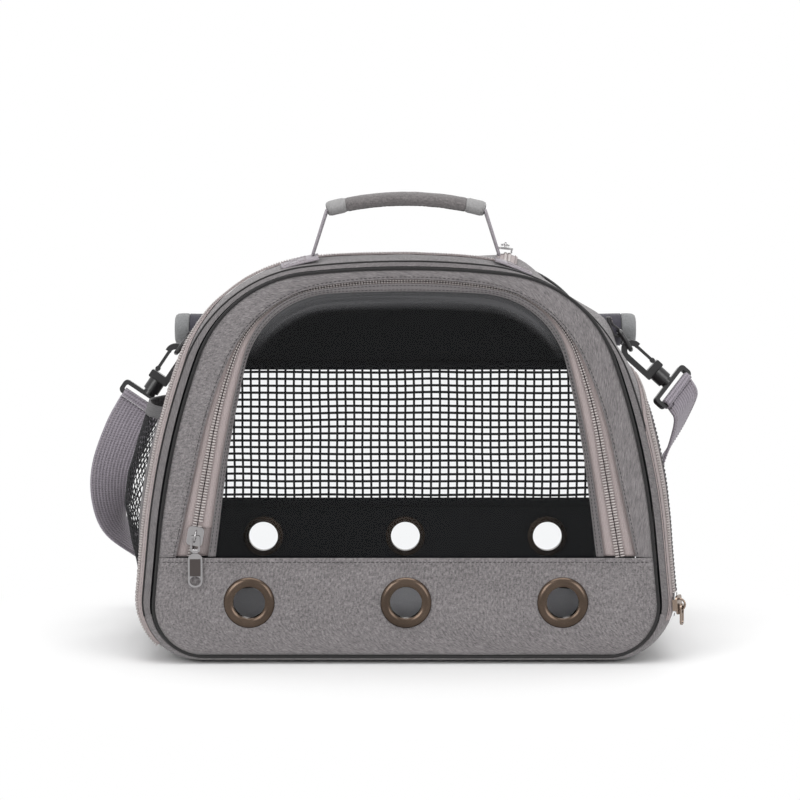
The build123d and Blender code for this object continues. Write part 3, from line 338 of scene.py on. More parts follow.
def arch_half(half, bottom, top, corner, straight, low, high, crown, shoulder):
    """Right half of an arch from its foot or the middle of its base up to its top, with normals."""
    low, high, crown = radians(low), radians(high), radians(crown)
    rise = (1 - sin(crown)) / cos(crown)
    parts = []
    foot = np.array([half, bottom])
    if corner:
        parts.append((np.linspace((0, bottom), (half - corner, bottom), 8), np.tile((0.0, -1.0), (8, 1))))
        parts.append(arc((half - corner, bottom), corner, -pi / 2, low, 16))
        foot = parts[-1][0][-1]
    knee = foot + straight * np.array([-sin(low), cos(low)])
    parts.append((np.linspace(foot, knee, 14), np.tile((cos(low), sin(low)), (14, 1))))
    shoulder_run = shoulder * np.array([cos(crown) - cos(high), sin(crown) - sin(high)])
    side_run = np.array([cos(high) - cos(low), sin(high) - sin(low)])
    side = (top - knee[1] - shoulder_run[1] - rise * (knee[0] + shoulder_run[0])) / (side_run[1] + rise * side_run[0])
    parts.append(arc(knee, side, low, high, 40))
    parts.append(arc(parts[-1][0][-1], shoulder, high, crown, 36))
    brow = parts[-1][0][-1]
    parts.append(arc(brow, brow[0] / cos(crown), crown, pi / 2, 26))
    parts = [(points[:-1], normals[:-1]) for points, normals in parts[:-1]] + parts[-1:]
    return tuple(np.concatenate(column) for column in zip(*parts))


def body_outline(side, top, bottom, left_ease=0.0, right_ease=0.0):
    """Closed piping outline moved out by these amounts, each shoulder eased by a larger radius."""
    p = PIPING
    (left, left_normals), (right, right_normals) = [arch_half(
        p["half"] + side, p["bottom"] - bottom, p["top"] + top, p["corner"] + (side + bottom) / 2, p["straight"],
        p["low"], p["high"], p["crown"], p["shoulder"] + (side + top) / 2 + ease)
        for ease in (left_ease, right_ease)]
    return (np.concatenate([right, (left * (-1, 1))[-2:0:-1]]),
            np.concatenate([right_normals, (left_normals * (-1, 1))[-2:0:-1]]))


def window_outline(row, grow=0.0, low=SEAM):
    """Window outline from left foot to right foot, grown by an amount at its sides and top."""
    half, top, straight, lean, high, crown, shoulder = row
    drop = SEAM - low
    points, _ = arch_half(half + grow + drop * tan(radians(lean)), low, top + grow, 0,
                          straight + drop / cos(radians(lean)), lean, high, crown, shoulder + grow)
    return np.concatenate([points * (-1, 1), points[-2::-1]])


def swell(depth):
    near = min(depth, DEPTH - depth)
    return 1.0 if near >= BULGE_DEPTH else sqrt(max(1 - (1 - near / BULGE_DEPTH) ** 2, 0.0))


def swell_slope(depth):
    near = min(depth, DEPTH - depth)
    if near >= BULGE_DEPTH:
        return 0.0
    slope = (1 - near / BULGE_DEPTH) / (BULGE_DEPTH * max(swell(depth), 0.12))
    return slope if depth < DEPTH / 2 else -slope


tables = {}


def table(depth, eased=True):
    """Gusset outline at a depth: shares of its length, rows of x, z and the normal's x and z, its length."""
    key = (round(depth, 2), eased)
    if key not in tables:
        share = swell(key[0])
        amount = share if eased else 0.0
        fall = TOP_FALL * amount * min(max((key[0] - 50.0) / 90.0, 0.0), 1.0)
        points, normals = body_outline(SIDE_BULGE * share, TOP_BULGE * share - fall,
                                       (PIPING["bottom"] + FLOOR_PRESS) * share, LEFT_EASE * amount,
                                       RIGHT_EASE * amount)
        points[:, 1] = np.maximum(points[:, 1], 0.0)
        rows = np.concatenate([points, normals], axis=1)
        rows = np.concatenate([rows, rows[:1]])
        lengths = distances(rows[:, :2])
        tables[key] = (lengths / lengths[-1], rows, lengths[-1])
    return tables[key]


GIRTH = table(DEPTH / 2)[2]


def softness(point):
    """How far the cloth stands off the even shape: broad sags and small ripples."""
    x, y, z = point
    seat = min(max((min(y - FRONT, BACK - y) - 3.0) / 22.0, 0.0), 1.0)
    broad = rough(x * 0.011 + 3.1, y * 0.014, z * 0.012) * 1.5
    fine = rough(x * 0.045, y * 0.05 + 7.0, z * 0.04) * 0.45
    side = 4.5 * bump(y, 10.0, 75.0) * bump(z, 150.0, 75.0) if x > DOOR_SIDE else 0.0
    return (broad + fine + side) * seat * min(max((z - 8.0) / 30.0, 0.0), 1.0)


def surf(u, depth, lift=0.0):
    """Points and outward normals of the gusset's cloth at shares u of its girth and depths, lifted off it."""
    u = np.atleast_1d(np.asarray(u, dtype=float)) % 1.0
    spread = [np.broadcast_to(np.asarray(value, dtype=float), u.shape) for value in (depth, lift)]
    points, normals = np.empty((len(u), 3)), np.empty((len(u), 3))
    for k, (share, d, h) in enumerate(zip(u, *spread)):
        at, rows, _ = table(d)
        x, z, nx, nz = looked_up([share], at, rows)[0]
        place = np.array([x, FRONT + d, z])
        amount = SIDE_BULGE * abs(nx) + TOP_BULGE * max(nz, 0) + PIPING["bottom"] * max(-nz, 0)
        normals[k] = unit(np.array([nx, -swell_slope(d) * amount, nz]))
        near = min(np.linalg.norm(place - held) for held in HELD_OUT)
        if near < HELD_REACH:
            stiff = table(d, False)[1]
            gaps = stiff[:, :2] - place[[0, 2]]
            nearest = int(np.argmin(np.linalg.norm(gaps, axis=1)))
            clear = max(float(np.dot(gaps[nearest], stiff[nearest, 2:])), 0.0)
            place = place + np.array([nx, 0, nz]) * clear * exp(-((near / HELD_WIDTH) ** 2))
        points[k] = place + normals[k] * (h + softness(place))
    return points, normals


def one_side(depth, side):
    """Shares and rows of one half of the outline, from the middle of its base to the top."""
    at, rows, _ = table(depth)
    half = len(rows) // 2 + 1
    return (at[:half], rows[:half]) if side > 0 else (at[half - 1:][::-1], rows[half - 1:][::-1])


def u_at_height(z, depth, side=1):
    """Share of the girth at which one side reaches a height."""
    at, rows = one_side(depth, side)
    return float(np.interp(z, rows[8:, 1], at[8:]))


def u_at_x(x, depth):
    """Share of the girth at which the top passes over x."""
    at, rows = one_side(depth, 1 if x > 0 else -1)
    return float(np.interp(abs(x), np.abs(rows[70:, 0])[::-1], at[70:][::-1]))


def on_side(pairs, lift=0.0):
    """Points and normals on the right side at (y, z) pairs."""
    depth = pairs[:, 0] - FRONT
    return surf([u_at_height(z, d) for z, d in zip(pairs[:, 1], depth)], depth, lift)


def on_gusset(pairs, lift=0.0):
    """Points and normals on the gusset at (distance round it, depth) pairs."""
    return surf(pairs[:, 0] / GIRTH, pairs[:, 1], lift)


def at_y(pairs, y):
    """Points at (x, z) pairs and a y or an array of them."""
    x, z = np.asarray(pairs, dtype=float).T
    return np.stack([x, y + 0 * x, z], axis=1)


def in_front(pairs, lift=0.0):
    """Points and normals in the front plane at (x, z) pairs."""
    return at_y(pairs, FRONT - lift), np.tile((0.0, -1.0, 0.0), (len(pairs), 1))


def ribbon(name, path, offsets, lifts, material, nodes, wall, slot):
    """Strip of tape that follows a path round the gusset, at several offsets across it."""
    rows = [on_gusset(path + left_of(path) * offset, lift)[0] for offset, lift in zip(offsets, lifts)]
    woven(name, rows, material, "bag", nodes, slot=slot, facing="out", wall=wall)


# Materials
def srgb(*levels):
    """Linear colour of 8-bit levels."""
    return tuple(v / 12.92 if v <= 0.04045 else ((v + 0.055) / 1.055) ** 2.4
                 for v in (level / 255 for level in levels)) + (1.0,)


def shade(colour, factor):
    return tuple(min(c * factor, 1.0) for c in colour[:3]) + (1.0,)


def wire(tree, node, inputs):
    """Sets a node's inputs to values, or links them from sockets."""
    for key, value in inputs.items():
        if isinstance(value, bpy.types.NodeSocket):
            tree.links.new(value, node.inputs[key])
        else:
            node.inputs[key].default_value = value
    return node


def add(tree, kind, inputs=None, **settings):
    """New shader node with its settings and inputs."""
    made = tree.nodes.new("ShaderNode" + kind)
    for key, value in settings.items():
        setattr(made, key, value)
    return wire(tree, made, inputs or {})


def base_material(name, colour, roughness, metallic=0.0, sheen=0.0, coat=0.0):
    made = bpy.data.materials.new(name)
    made.use_nodes = True
    made.diffuse_color = colour
    tree = made.node_tree
    shader = wire(tree, tree.nodes["Principled BSDF"], {
        "Base Color": colour, "Roughness": roughness, "Metallic": metallic, "Sheen Weight": sheen,
        "Sheen Roughness": 0.6, "Coat Weight": coat})
    return made, tree, shader


def mapped(tree, coordinates, *scale):
    source = add(tree, "TexCoord").outputs[coordinates]
    return add(tree, "Mapping", {"Vector": source, "Scale": scale or (1, 1, 1)}).outputs["Vector"]


def parts_of(tree, vector):
    return add(tree, "SeparateXYZ", {0: vector}).outputs


def noise_at(tree, vector, scale, detail=2.0, roughness=0.6):
    return add(tree, "TexNoise", {"Vector": vector, "Scale": scale, "Detail": detail,
                                  "Roughness": roughness}).outputs["Fac"]


def maths(tree, operation, *values):
    return add(tree, "Math", dict(enumerate(values)), operation=operation).outputs[0]


def summed(tree, *terms):
    """Weighted sum of (socket, weight) terms."""
    out = None
    for socket, weight in terms:
        term = socket if weight == 1 else maths(tree, "MULTIPLY", socket, weight)
        out = term if out is None else maths(tree, "ADD", out, term)
    return out


def smooth_step(tree, value, low, high):
    return add(tree, "MapRange", {"Value": value, "From Min": low, "From Max": high},
               interpolation_type="SMOOTHSTEP").outputs[0]


def ramp(tree, factor, stops):
    made = add(tree, "ValToRGB", {"Fac": factor})
    elements = made.color_ramp.elements
    while len(elements) < len(stops):
        elements.new(0.5)
    for element, (position, colour) in zip(elements, stops):
        element.position, element.color = position, colour
    return made.outputs["Color"]


def bumped(tree, shader, height, strength, distance):
    made = add(tree, "Bump", {"Strength": strength, "Distance": distance, "Height": height})
    wire(tree, shader, {"Normal": made.outputs["Normal"]})


def heather(name, colour, contrast=0.26, roughness=0.92, sheen=0.15, strength=0.5):
    """Plain woven cloth of mixed light and dark threads."""
    made, tree, shader = base_material(name, colour, roughness, sheen=sheen)
    fleck = noise_at(tree, mapped(tree, "UV", 620, 300, 1), 1.0, 3.0, 0.8)
    cross = noise_at(tree, mapped(tree, "UV", 500, 1000, 1), 1.0, 2.0, 0.7)
    cloud = noise_at(tree, mapped(tree, "UV", 40, 40, 1), 1.0, 3.0)
    mixed = summed(tree, (fleck, 0.62), (cross, 0.28), (cloud, 0.1))
    stops = [(0.38, shade(colour, 1 - 2.0 * contrast)), (0.5, colour), (0.62, shade(colour, 1 + 2.4 * contrast))]
    wire(tree, shader, {"Base Color": ramp(tree, mixed, stops)})
    if strength:
        threads = 1000.0 / 0.55 * pi
        x, y, _ = parts_of(tree, mapped(tree, "UV", threads, threads, 1))
        weave = maths(tree, "MULTIPLY", maths(tree, "SINE", x), maths(tree, "SINE", y))
        bumped(tree, shader, summed(tree, (weave, 0.5), (mixed, 1)), strength, 0.0002)
    return made


def twill(name, colour, rib, across, contrast=0.12, sheen=0.15, strength=0.6, weight=0.22):
    """Webbing with slanted ribs along its length."""
    made, tree, shader = base_material(name, colour, 0.75, sheen=sheen)
    x, y, _ = parts_of(tree, mapped(tree, "UV", 2 * pi * 1000 / rib, 2 * pi * 1000 / across, 1))
    picks = maths(tree, "SINE", summed(tree, (x, 1), (y, 0.5)))
    pattern = summed(tree, (maths(tree, "SINE", y), 0.6), (picks, 0.4))
    grain = noise_at(tree, mapped(tree, "UV", 900, 900, 1), 1.0, 2.0)
    stops = [(0.25, shade(colour, 1 - 2 * contrast)), (0.5, colour), (0.8, shade(colour, 1 + contrast))]
    wire(tree, shader, {"Base Color": ramp(tree, summed(tree, (pattern, weight), (grain, 1)), stops)})
    bumped(tree, shader, pattern, strength, 0.00035)
    return made


def plain(name, colour, roughness, metallic=0.0, grain=0.0, coat=0.0, variation=0.08):
    """Moulded or metal surface with a fine grain and slight change of tone."""
    made, tree, shader = base_material(name, colour, roughness, metallic, coat=coat)
    vector = mapped(tree, "Object")
    stops = [(0.3, shade(colour, 1 - variation)), (0.7, shade(colour, 1 + variation))]
    worn = noise_at(tree, vector, 900.0, 2.0)
    spread = add(tree, "MapRange", {"Value": worn, "To Min": max(roughness - 0.06, 0.02), "To Max": roughness + 0.08})
    wire(tree, shader, {"Base Color": ramp(tree, noise_at(tree, vector, 45.0, 3.0), stops),
                        "Roughness": spread.outputs[0]})
    if grain:
        bumped(tree, shader, worn, grain, 0.0002)
    return made


def clear_film(name):
    """Clear flexible sheet with a soft reflection at a slant, and a painted reflection under the top of the window: a
    dim grey diffuse layer in streaks.
    """
    made = bpy.data.materials.new(name)
    made.use_nodes = True
    tree = made.node_tree
    tree.nodes.remove(tree.nodes["Principled BSDF"])
    through = add(tree, "BsdfTransparent", {"Color": (0.93, 0.94, 0.95, 1)}).outputs[0]
    gloss = add(tree, "BsdfGlossy", {"Roughness": 0.09, "Color": (0.4, 0.4, 0.4, 1)})
    bumped(tree, gloss, noise_at(tree, mapped(tree, "Object"), 14.0, 2.0), 0.3, 0.004)
    fresnel = add(tree, "Fresnel", {"IOR": 1.38}).outputs[0]
    mix = add(tree, "MixShader", {0: fresnel, 1: through, 2: gloss.outputs[0]}).outputs[0]
    # Painted reflection: a dim grey diffuse layer mixed into the film in streaks near the top of the window, standing
    # in for the reflection of the gusset's inner surface.
    painted_reflection = add(tree, "BsdfDiffuse", {"Color": (0.075, 0.075, 0.078, 1)}).outputs[0]
    near_top = smooth_step(tree, parts_of(tree, mapped(tree, "UV"))[1], 0.915, 0.955)
    high = smooth_step(tree, parts_of(tree, mapped(tree, "Object"))[2], 0.236, 0.272)
    reflection_streaks = maths(tree, "MULTIPLY", noise_at(tree, mapped(tree, "UV", 3, 55, 1), 1.0, 3.0), 1.5)
    amount = maths(tree, "MULTIPLY", maths(tree, "MULTIPLY", near_top, reflection_streaks), high)
    film_and_painted_reflection = add(tree, "MixShader", {0: amount, 1: mix, 2: painted_reflection})
    wire(tree, tree.nodes["Material Output"], {"Surface": film_and_painted_reflection.outputs[0]})
    return made


grey = heather("grey cloth", srgb(112, 108, 109))
band = heather("band cloth", srgb(101, 97, 98), contrast=0.2)
edge = twill("edge tape", srgb(106, 102, 103), rib=1.1, across=1.1)
lining = heather("lining", srgb(13, 16, 22), contrast=0.03, roughness=0.85, sheen=0.0, strength=0.0)
piping = twill("piping cloth", srgb(20, 18, 19), rib=0.9, across=0.9, contrast=0.15, sheen=0.05)
tape = twill("zip tape", srgb(160, 148, 147), rib=0.9, across=1.3, contrast=0.1, strength=0.4)
coil = plain("zip coil", srgb(176, 169, 167), 0.42, grain=0.1)
film = clear_film("window film")
steel = plain("bright plating", srgb(158, 156, 157), 0.16, metallic=1.0, grain=0.05)
bronze = plain("side slider plating", srgb(140, 124, 112), 0.2, metallic=1.0, grain=0.05)
nickel = plain("dark nickel", srgb(84, 72, 63), 0.2, metallic=1.0, grain=0.05, variation=0.2)
enamel = plain("puller inlay", srgb(44, 33, 30), 0.3, coat=0.4)
black = plain("black plastic", srgb(20, 19, 21), 0.3, grain=0.12, coat=0.2)
net_thread = plain("net thread", srgb(17, 18, 22), 0.7, grain=0.3)
tab_cloth = twill("tab webbing", srgb(46, 44, 46), rib=1.5, across=1.6, contrast=0.16)
webbing = twill("light webbing", srgb(150, 144, 150), rib=1.5, across=1.6, contrast=0.16, weight=0.3)
strap_cloth = twill("strap webbing", srgb(140, 133, 142), rib=2.2, across=2.8, contrast=0.2, weight=0.42)
curtain_cloth = heather("curtain cloth", srgb(40, 37, 50), contrast=0.12, roughness=0.7)
end_cloth = heather("curtain ends", srgb(128, 129, 130), contrast=0.08)
mat_cloth = heather("mat cloth", srgb(214, 213, 218), contrast=0.05)
cap_cloth = twill("handle caps", srgb(140, 139, 139), rib=1.3, across=1.1, contrast=0.09)
grip_cloth = heather("grip cloth", srgb(96, 92, 92), contrast=0.2)
thread_dark = plain("dark thread", srgb(52, 49, 50), 0.8)
thread_light = plain("light thread", srgb(150, 142, 144), 0.8)
LINED = [grey, lining]

# CAD nodes that keep their own shape
KEPT = {
    nickel: ("eyelets", "eyelet_washers"), steel: ("window_slider", "window_pull_link", "window_puller",
                                                   "top_slider", "top_puller"),
    enamel: ("window_puller_inset",), bronze: ("side_slider", "side_puller"),
    black: ("hooks", "left_gate", "right_gate", "left_swivel", "right_swivel", "d_rings", "strap_adjuster",
            "base_board", "handle_core", "arch_wires"),
}
for finish, names in KEPT.items():
    for name in names:
        materials = frame["nodes"][name].data.materials
        materials.clear()
        materials.append(finish)

# Gusset: band, shell, base and the dark seam cord where the band meets the shell
BAND_DEPTHS = [0.6, 1.2, 2.0, 3.0, 4.2, BAND_DEPTH]
DEPTHS = BAND_DEPTHS + [7.0, 9.0, 11.5, 14.5, 18.0, 22.0, 26.0, 30.5, BULGE_DEPTH]
DEPTHS += list(np.linspace(BULGE_DEPTH, DEPTH - BULGE_DEPTH, 31)[1:-1]) + [DEPTH - d for d in reversed(DEPTHS)]
shares = table(DEPTH / 2)[0][:-1]
right_split = u_at_height(TRAY, DEPTH / 2)
left_split = u_at_height(TRAY, DEPTH / 2, -1)
NEAR = 0.002
upper = np.concatenate([[right_split], shares[(shares > right_split + NEAR) & (shares < left_split - NEAR)],
                        [left_split]])
lower = np.concatenate([[left_split], shares[shares > left_split + NEAR], 1 + shares[shares < right_split - NEAR],
                        [1 + right_split]])


def panel(name, rows, node_name, facing, mask=None, wall=WALL, **more):
    """Piece of grey cloth on the bag with the dark lining behind it."""
    return woven(name, rows, LINED, "bag", [node_name], mask, slot="grey_fabric", facing=facing, wall=wall, inner=1,
                 **more)


def gusset_rows(depths, shares):
    return np.array([surf(shares, d)[0] for d in depths])


def door_inside(y, z, grow=0.0):
    """Whether a point of the right side lies within the side door's outline grown by an amount."""
    y0, y1 = FRONT + DOOR["front"] - grow, FRONT + DOOR["back"] + grow
    top, radius = DOOR["top"] + grow, DOOR["corner"] + grow
    if y < y0 or y > y1 or z > top or z < DOOR["low"] - 2 or (y < DOOR_CUT[0] and z < DOOR_CUT[1]):
        return False
    dy = max(y0 + radius - y, y - (y1 - radius), 0)
    dz = max(z - (top - radius), 0)
    return dy * dy + dz * dz < radius * radius or dz == 0 or dy == 0


woven("band_cloth", gusset_rows(BAND_DEPTHS, upper), band, "bag", ["front_band"], slot="band_fabric", facing="out")
shell_rows = gusset_rows([d for d in DEPTHS if d >= BAND_DEPTH], upper)
panel("gusset_cloth", shell_rows, "gusset_panel", "out",
      cells(shell_rows, lambda c: not (c[0] > DOOR_SIDE and door_inside(c[1], c[2], 1.0))))
panel("base_cloth", gusset_rows(DEPTHS, lower), "base_tray", "out", wall=1.6)
tube("band_seam", surf(upper, BAND_DEPTH + 0.2, 0.35)[0], 0.75)

# Side door: cloth, tapes, edge, coils and stitches
verts, faces = grid(shell_rows, cells(shell_rows, lambda c: c[0] > DOOR_SIDE and door_inside(c[1], c[2], -4.0)))
used = sorted({i for f in faces for i in f})
index = {old: new for new, old in enumerate(used)}
put("side_door_cloth", verts[used], [tuple(index[i] for i in f) for f in faces], LINED, "side_door",
    ["side_door_panel"], grid_uv(shell_rows)[used], slot="grey_fabric", facing="out", wall=WALL, inner=1)


def door_path(grow=0.0, step=2.0, low=0.0):
    """Path round the side door's outline from its front foot over the top to its back foot, as (y, z)."""
    y0, y1 = FRONT + DOOR["front"] - grow, FRONT + DOOR["back"] + grow
    top, radius = DOOR["top"] + grow, DOOR["corner"] + grow
    turn = np.linspace(0, pi / 2, 14)
    first = np.stack([y0 + radius - radius * np.cos(turn), top - radius + radius * np.sin(turn)], axis=1)
    second = np.stack([y1 - radius + radius * np.sin(turn), top - radius + radius * np.cos(turn)], axis=1)
    path = resample(np.concatenate([[(y0, DOOR["low"])], first, second, [(y1, DOOR["low"])]]), step)
    return path[(path[:, 1] > low) | (path[:, 0] > 0)]


def thinned(path, count):
    return path[np.linspace(0, len(path) - 1, count).astype(int)]


def side_ribbon(name, grows, lifts, material, body, node_name, slot, low=None):
    rows = []
    for grow, lift in zip(grows, lifts):
        path = thinned(resample(door_path(grow), 1.0), 240)
        if low:
            path = thinned(resample(path[(path[:, 1] > low) | (path[:, 0] > 0)], 2.0), 220)
        rows.append(on_side(path, lift)[0])
    woven(name, rows, material, body, [node_name], slot=slot, facing="out", wall=0.8)


side_ribbon("side_tape_outer", (7.0, 3.5, 0.3), (1.0, 1.15, 1.2), tape, "bag", "side_door_outer_tape", "zip_tape")
side_ribbon("side_tape_inner", (-1.0, -5.0, -10.5), (1.2, 1.15, 1.0), tape, "side_door", "side_door_inner_tape",
            "zip_tape", DOOR_FOOT)
side_ribbon("side_edge", (-10.0, -13.5, -17.0), (1.4, 1.7, 1.1), edge, "side_door", "side_door_binding", "binding",
            DOOR_FOOT)
for name, grow, body, low in (("outer", 1.4, "bag", DOOR_FOOT), ("inner", -1.8, "side_door", DOOR_FOOT + 0.5)):
    points, ups = on_side(door_path(grow, COIL_PITCH, low), 1.75)
    coil_turns("side_coil_" + name, points, ups, (3.0, 1.45, 2.0), body, "side_door_%s_coil" % name)
stitches("side_stitch_outer", *on_side(door_path(5.6), 1.1), thread_light, "bag")
stitches("side_stitch_inner", *on_side(door_path(-11.3), 1.6), thread_dark, "side_door")
stitches("side_stitch_edge", *on_side(door_path(-15.8), 1.6), thread_dark, "side_door")

# Long zip up the left side, over the shoulder and along the top, turned back behind the handle
corners = np.array([
    (u_at_height(ZIP_FOOT, ZIP_DEPTH, -1) * GIRTH, ZIP_DEPTH), (u_at_x(ZIP_JOG[0], ZIP_DEPTH) * GIRTH, ZIP_DEPTH),
    (u_at_x(ZIP_JOG[1], ZIP_TOP_DEPTH) * GIRTH, ZIP_TOP_DEPTH),
    (u_at_x(ZIP_TURN, ZIP_TOP_DEPTH) * GIRTH, ZIP_TOP_DEPTH), (u_at_x(ZIP_TURN, ZIP_TOP_DEPTH) * GIRTH, ZIP_END)])
zip_path = [corners[0]]
for k, radius in enumerate((45.0, 45.0, 14.0)):
    before, here, after = corners[k:k + 3]
    reach = min(radius, np.linalg.norm(here - before) / 2, np.linalg.norm(after - here) / 2)
    zip_path += corner_curve(before, here, after, reach, 12)
zip_path = resample(zip_path + [corners[-1]], 2.0)
ribbon("top_tape", zip_path, (-8.0, -3.0, 0.0, 3.0, 8.0), (1.1, 1.2, 1.2, 1.2, 1.1), tape, ["top_zip_tape"], 0.7,
       "zip_tape")
coil_path = resample(zip_path, COIL_PITCH)[:-2]
for name, offset in (("back", 1.5), ("front", -1.5)):
    points, ups = on_gusset(coil_path + left_of(coil_path) * offset, 1.7)
    coil_turns("top_coil_" + name, points, ups, (2.9, 1.45, 1.9), "bag", "top_zip_coil_" + name)
for name, offset in (("back", 6.4), ("front", -6.4)):
    stitches("top_stitch_" + name, *on_gusset(zip_path + left_of(zip_path) * offset, 1.3), thread_light, "bag")

# Piping
outline, _ = body_outline(0, 0, 0)
loop = resample(np.concatenate([outline, outline[:1]]), 3.0)[:-1]
tube("piping_front", at_y(loop, FRONT + 0.4), PIPING_RADIUS, ["piping"], True)
tube("piping_back", at_y(loop, BACK - 0.4), PIPING_RADIUS, closed=True)


# Front panels
def half_outline(side):
    """Right half of the piping outline moved by an amount."""
    outline, _ = body_outline(side, side, side)
    return outline[:len(outline) // 2 + 1]


def arch_above(side, height):
    """Piping outline moved by an amount, from its left side at a height over the top to the right side."""
    right = half_outline(side)
    foot = (float(np.interp(height, right[9:, 1], right[9:, 0])), height)
    right = np.concatenate([[foot], right[right[:, 1] > height]])
    return np.concatenate([right * (-1, 1), right[-2::-1]])


def between(outer, inner, lifts, count=300):
    """Grid of points between two front outlines, with the cloth's lift at each row."""
    outer, inner = by_share(outer, count), by_share(inner, count)
    return np.array([in_front(outer * (1 - t) + inner * t, lift)[0]
                     for t, lift in zip(np.linspace(0, 1, len(lifts)), lifts)])


def off_eyelets(centre, height, reach):
    """Whether a point is clear of a row of eyelets at a height."""
    return min(sqrt((centre[0] - x) ** 2 + (centre[2] - height) ** 2) for x in EYELETS) > reach


TO_FRONT = (0, -1, 0)
rows = between(arch_above(PIPING_LAP, SEAM - 0.4), window_outline(OPENING),
               (-0.3, 0.35, 0.6, 0.7, 0.7, 0.65, 0.55, 0.5, 0.3))
piece = panel("front_cloth", rows, "front_panel", TO_FRONT)
for vertex in piece.data.vertices:
    x, y, z = vertex.co
    vertex.co.y = y - 0.0005 * rough(x * 18, 3.3, z * 18)
stitches("front_stitch", *in_front(window_outline(OPENING, 1.8), 0.9), thread_dark, "bag")


def piping_half_width(z, side):
    corner = half_outline(side)[7:]
    return float(np.interp(z, corner[:, 1], corner[:, 0])) if z > corner[0, 1] else corner[0, 0]


rows = []
for z in list(np.linspace(7.6, 20, 9)) + list(np.linspace(22, 79, 30)) + [79.6, 80.2, 82.0, 83.6, 84.4]:
    half = piping_half_width(z, PIPING_LAP)
    xs = np.linspace(-half, half, 161)
    lift = (0.45 if z < 79 else 1.35) - (0.4 if z in (7.6, 84.4) else 0)
    sag = np.array([rough(x * 0.016, z * 0.02, 1.7) for x in xs]) * 0.8
    lifts = (lift + sag * np.clip((79 - z) / 30, 0, 1)) * np.clip((half - np.abs(xs)) / 5.0, 0, 1)
    rows.append(np.stack([xs, FRONT - lifts, np.full(161, z)], axis=1))
rows = np.array(rows)
panel("lower_front_cloth", rows, "front_lower_panel", TO_FRONT,
      cells(rows, lambda c: off_eyelets(c, FRONT_EYELET, 15.0)))
half = piping_half_width(79.0, -4.0)
stitches("hem_stitch", *in_front(np.linspace((-half, 81.0), (half, 81.0), 80), 1.5), thread_dark, "bag")


# Window zip, edge and film
def coil_line(grow, low=SEAM):
    return window_outline(COIL, grow, low=low)


def front_strip(name, outer, inner, lifts, material, body, nodes, wall, slot):
    woven(name, between(outer, inner, lifts, 330), material, body, nodes, slot=slot, facing=TO_FRONT, wall=wall)


def above_slider(path):
    """Part of a left-to-right outline that stays above the window slider on its left side."""
    path = resample(path, 0.5)
    return path[int(np.argmax((path[:, 0] > 0) | (path[:, 1] > SLIDER_TOP))):]


front_strip("window_tape_outer", window_outline(OPENING, 3.0), coil_line(0.3), (TAPE_LIFT,) * 3, tape, "bag",
            ["window_outer_tape"], 0.7, "zip_tape")
front_strip("window_tape_inner", above_slider(coil_line(-0.3, SEAM + 0.3)),
            above_slider(window_outline(BINDING, -3.0, low=SEAM + 0.3)), (TAPE_LIFT,) * 3, tape, "front_door",
            ["window_inner_tape"], 0.7, "zip_tape")


def front_teeth(name, chosen, body, node_name, sign):
    """Coil turns on one side of the window zip's centre line, at the chosen places along it."""
    line, wide = window_path[chosen], turn_widths[chosen]
    points, ups = in_front(line + left_of(line) * sign * (wide / 2 + 0.15)[:, None], COIL_LIFT)
    size = np.stack([wide, np.full(len(wide), 1.5), np.full(len(wide), 2.0)], axis=1)
    coil_turns(name, points, ups, size, body, node_name)


window_path = resample(coil_line(0, SEAM + 0.4), WINDOW_PITCH)
heights = window_path[:, 1]
t = np.clip((heights - TAPER_FROM) / TAPER_RUN, 0, 1)
turn_widths = np.maximum((COIL_LOW * (1 - t) + COIL_TOP * t) / 2, 1.1)
closed_run = (window_path[:, 0] > 0) | (heights > SLIDER_GAP[1])
front_teeth("window_coil_outer", slice(None), "bag", "window_outer_coil", 1)
front_teeth("window_coil_inner", closed_run, "front_door", "window_inner_coil", -1)
front_teeth("window_coil_end", ~closed_run & (heights < SLIDER_GAP[0]), "bag", "window_zip_end", -1)
rows = []
for grow in (-0.4, -5.0, -14.6):
    run = resample(coil_line(grow, SEAM + 0.3), 0.5)
    rows.append(in_front(by_share(run[(run[:, 0] < 0) & (run[:, 1] < STUB_TOP)], 12), TAPE_LIFT - 0.9)[0])
woven("window_tape_end", rows, tape, "bag", slot="zip_tape", facing=TO_FRONT, wall=0.7)

edge_outer, edge_inner = window_outline(BINDING, low=SEAM + 0.4), window_outline(WINDOW, low=SEAM + 0.4)
front_strip("window_edge", edge_outer, edge_inner, (-0.2, 0.35, 0.5, 0.5, 0.35, -0.3), edge, "front_door",
            ["window_binding"], 0.8, "binding")
front_strip("window_edge_back", edge_outer, edge_inner, (-1.6, -1.7, -1.6), edge, "front_door", [], 0.7, "binding")
for name, row, grow in (("outer", BINDING, -1.4), ("inner", WINDOW, 1.3)):
    stitches("edge_stitch_" + name, *in_front(window_outline(row, grow, low=SEAM + 3.5), 0.6), thread_dark,
             "front_door", pitch=3.0, length=2.1)
rows = []
FILM_SHARES = np.linspace(0, 1, 40)
film_edge = by_share(window_outline(WINDOW, 2.5, low=SEAM + 0.5), 161)
film_foot = np.stack([np.linspace(film_edge[0, 0], film_edge[-1, 0], 161), np.full(161, SEAM + 0.5)], axis=1)
for t in FILM_SHARES:
    pairs = film_foot * (1 - t) + film_edge * t
    bow = np.array([rough(x * 0.012, z * 0.014, 5.0) for x, z in pairs]) * 0.5
    rows.append(in_front(pairs, -0.95 + bow * min(t * 6, 1, (1 - t) * 6))[0])
piece = woven("window_sheet", rows, film, "front_door", ["window_film"], slot="film",
              uvs=[(x / 300, t) for t in FILM_SHARES for x in np.linspace(-150, 150, 161)])

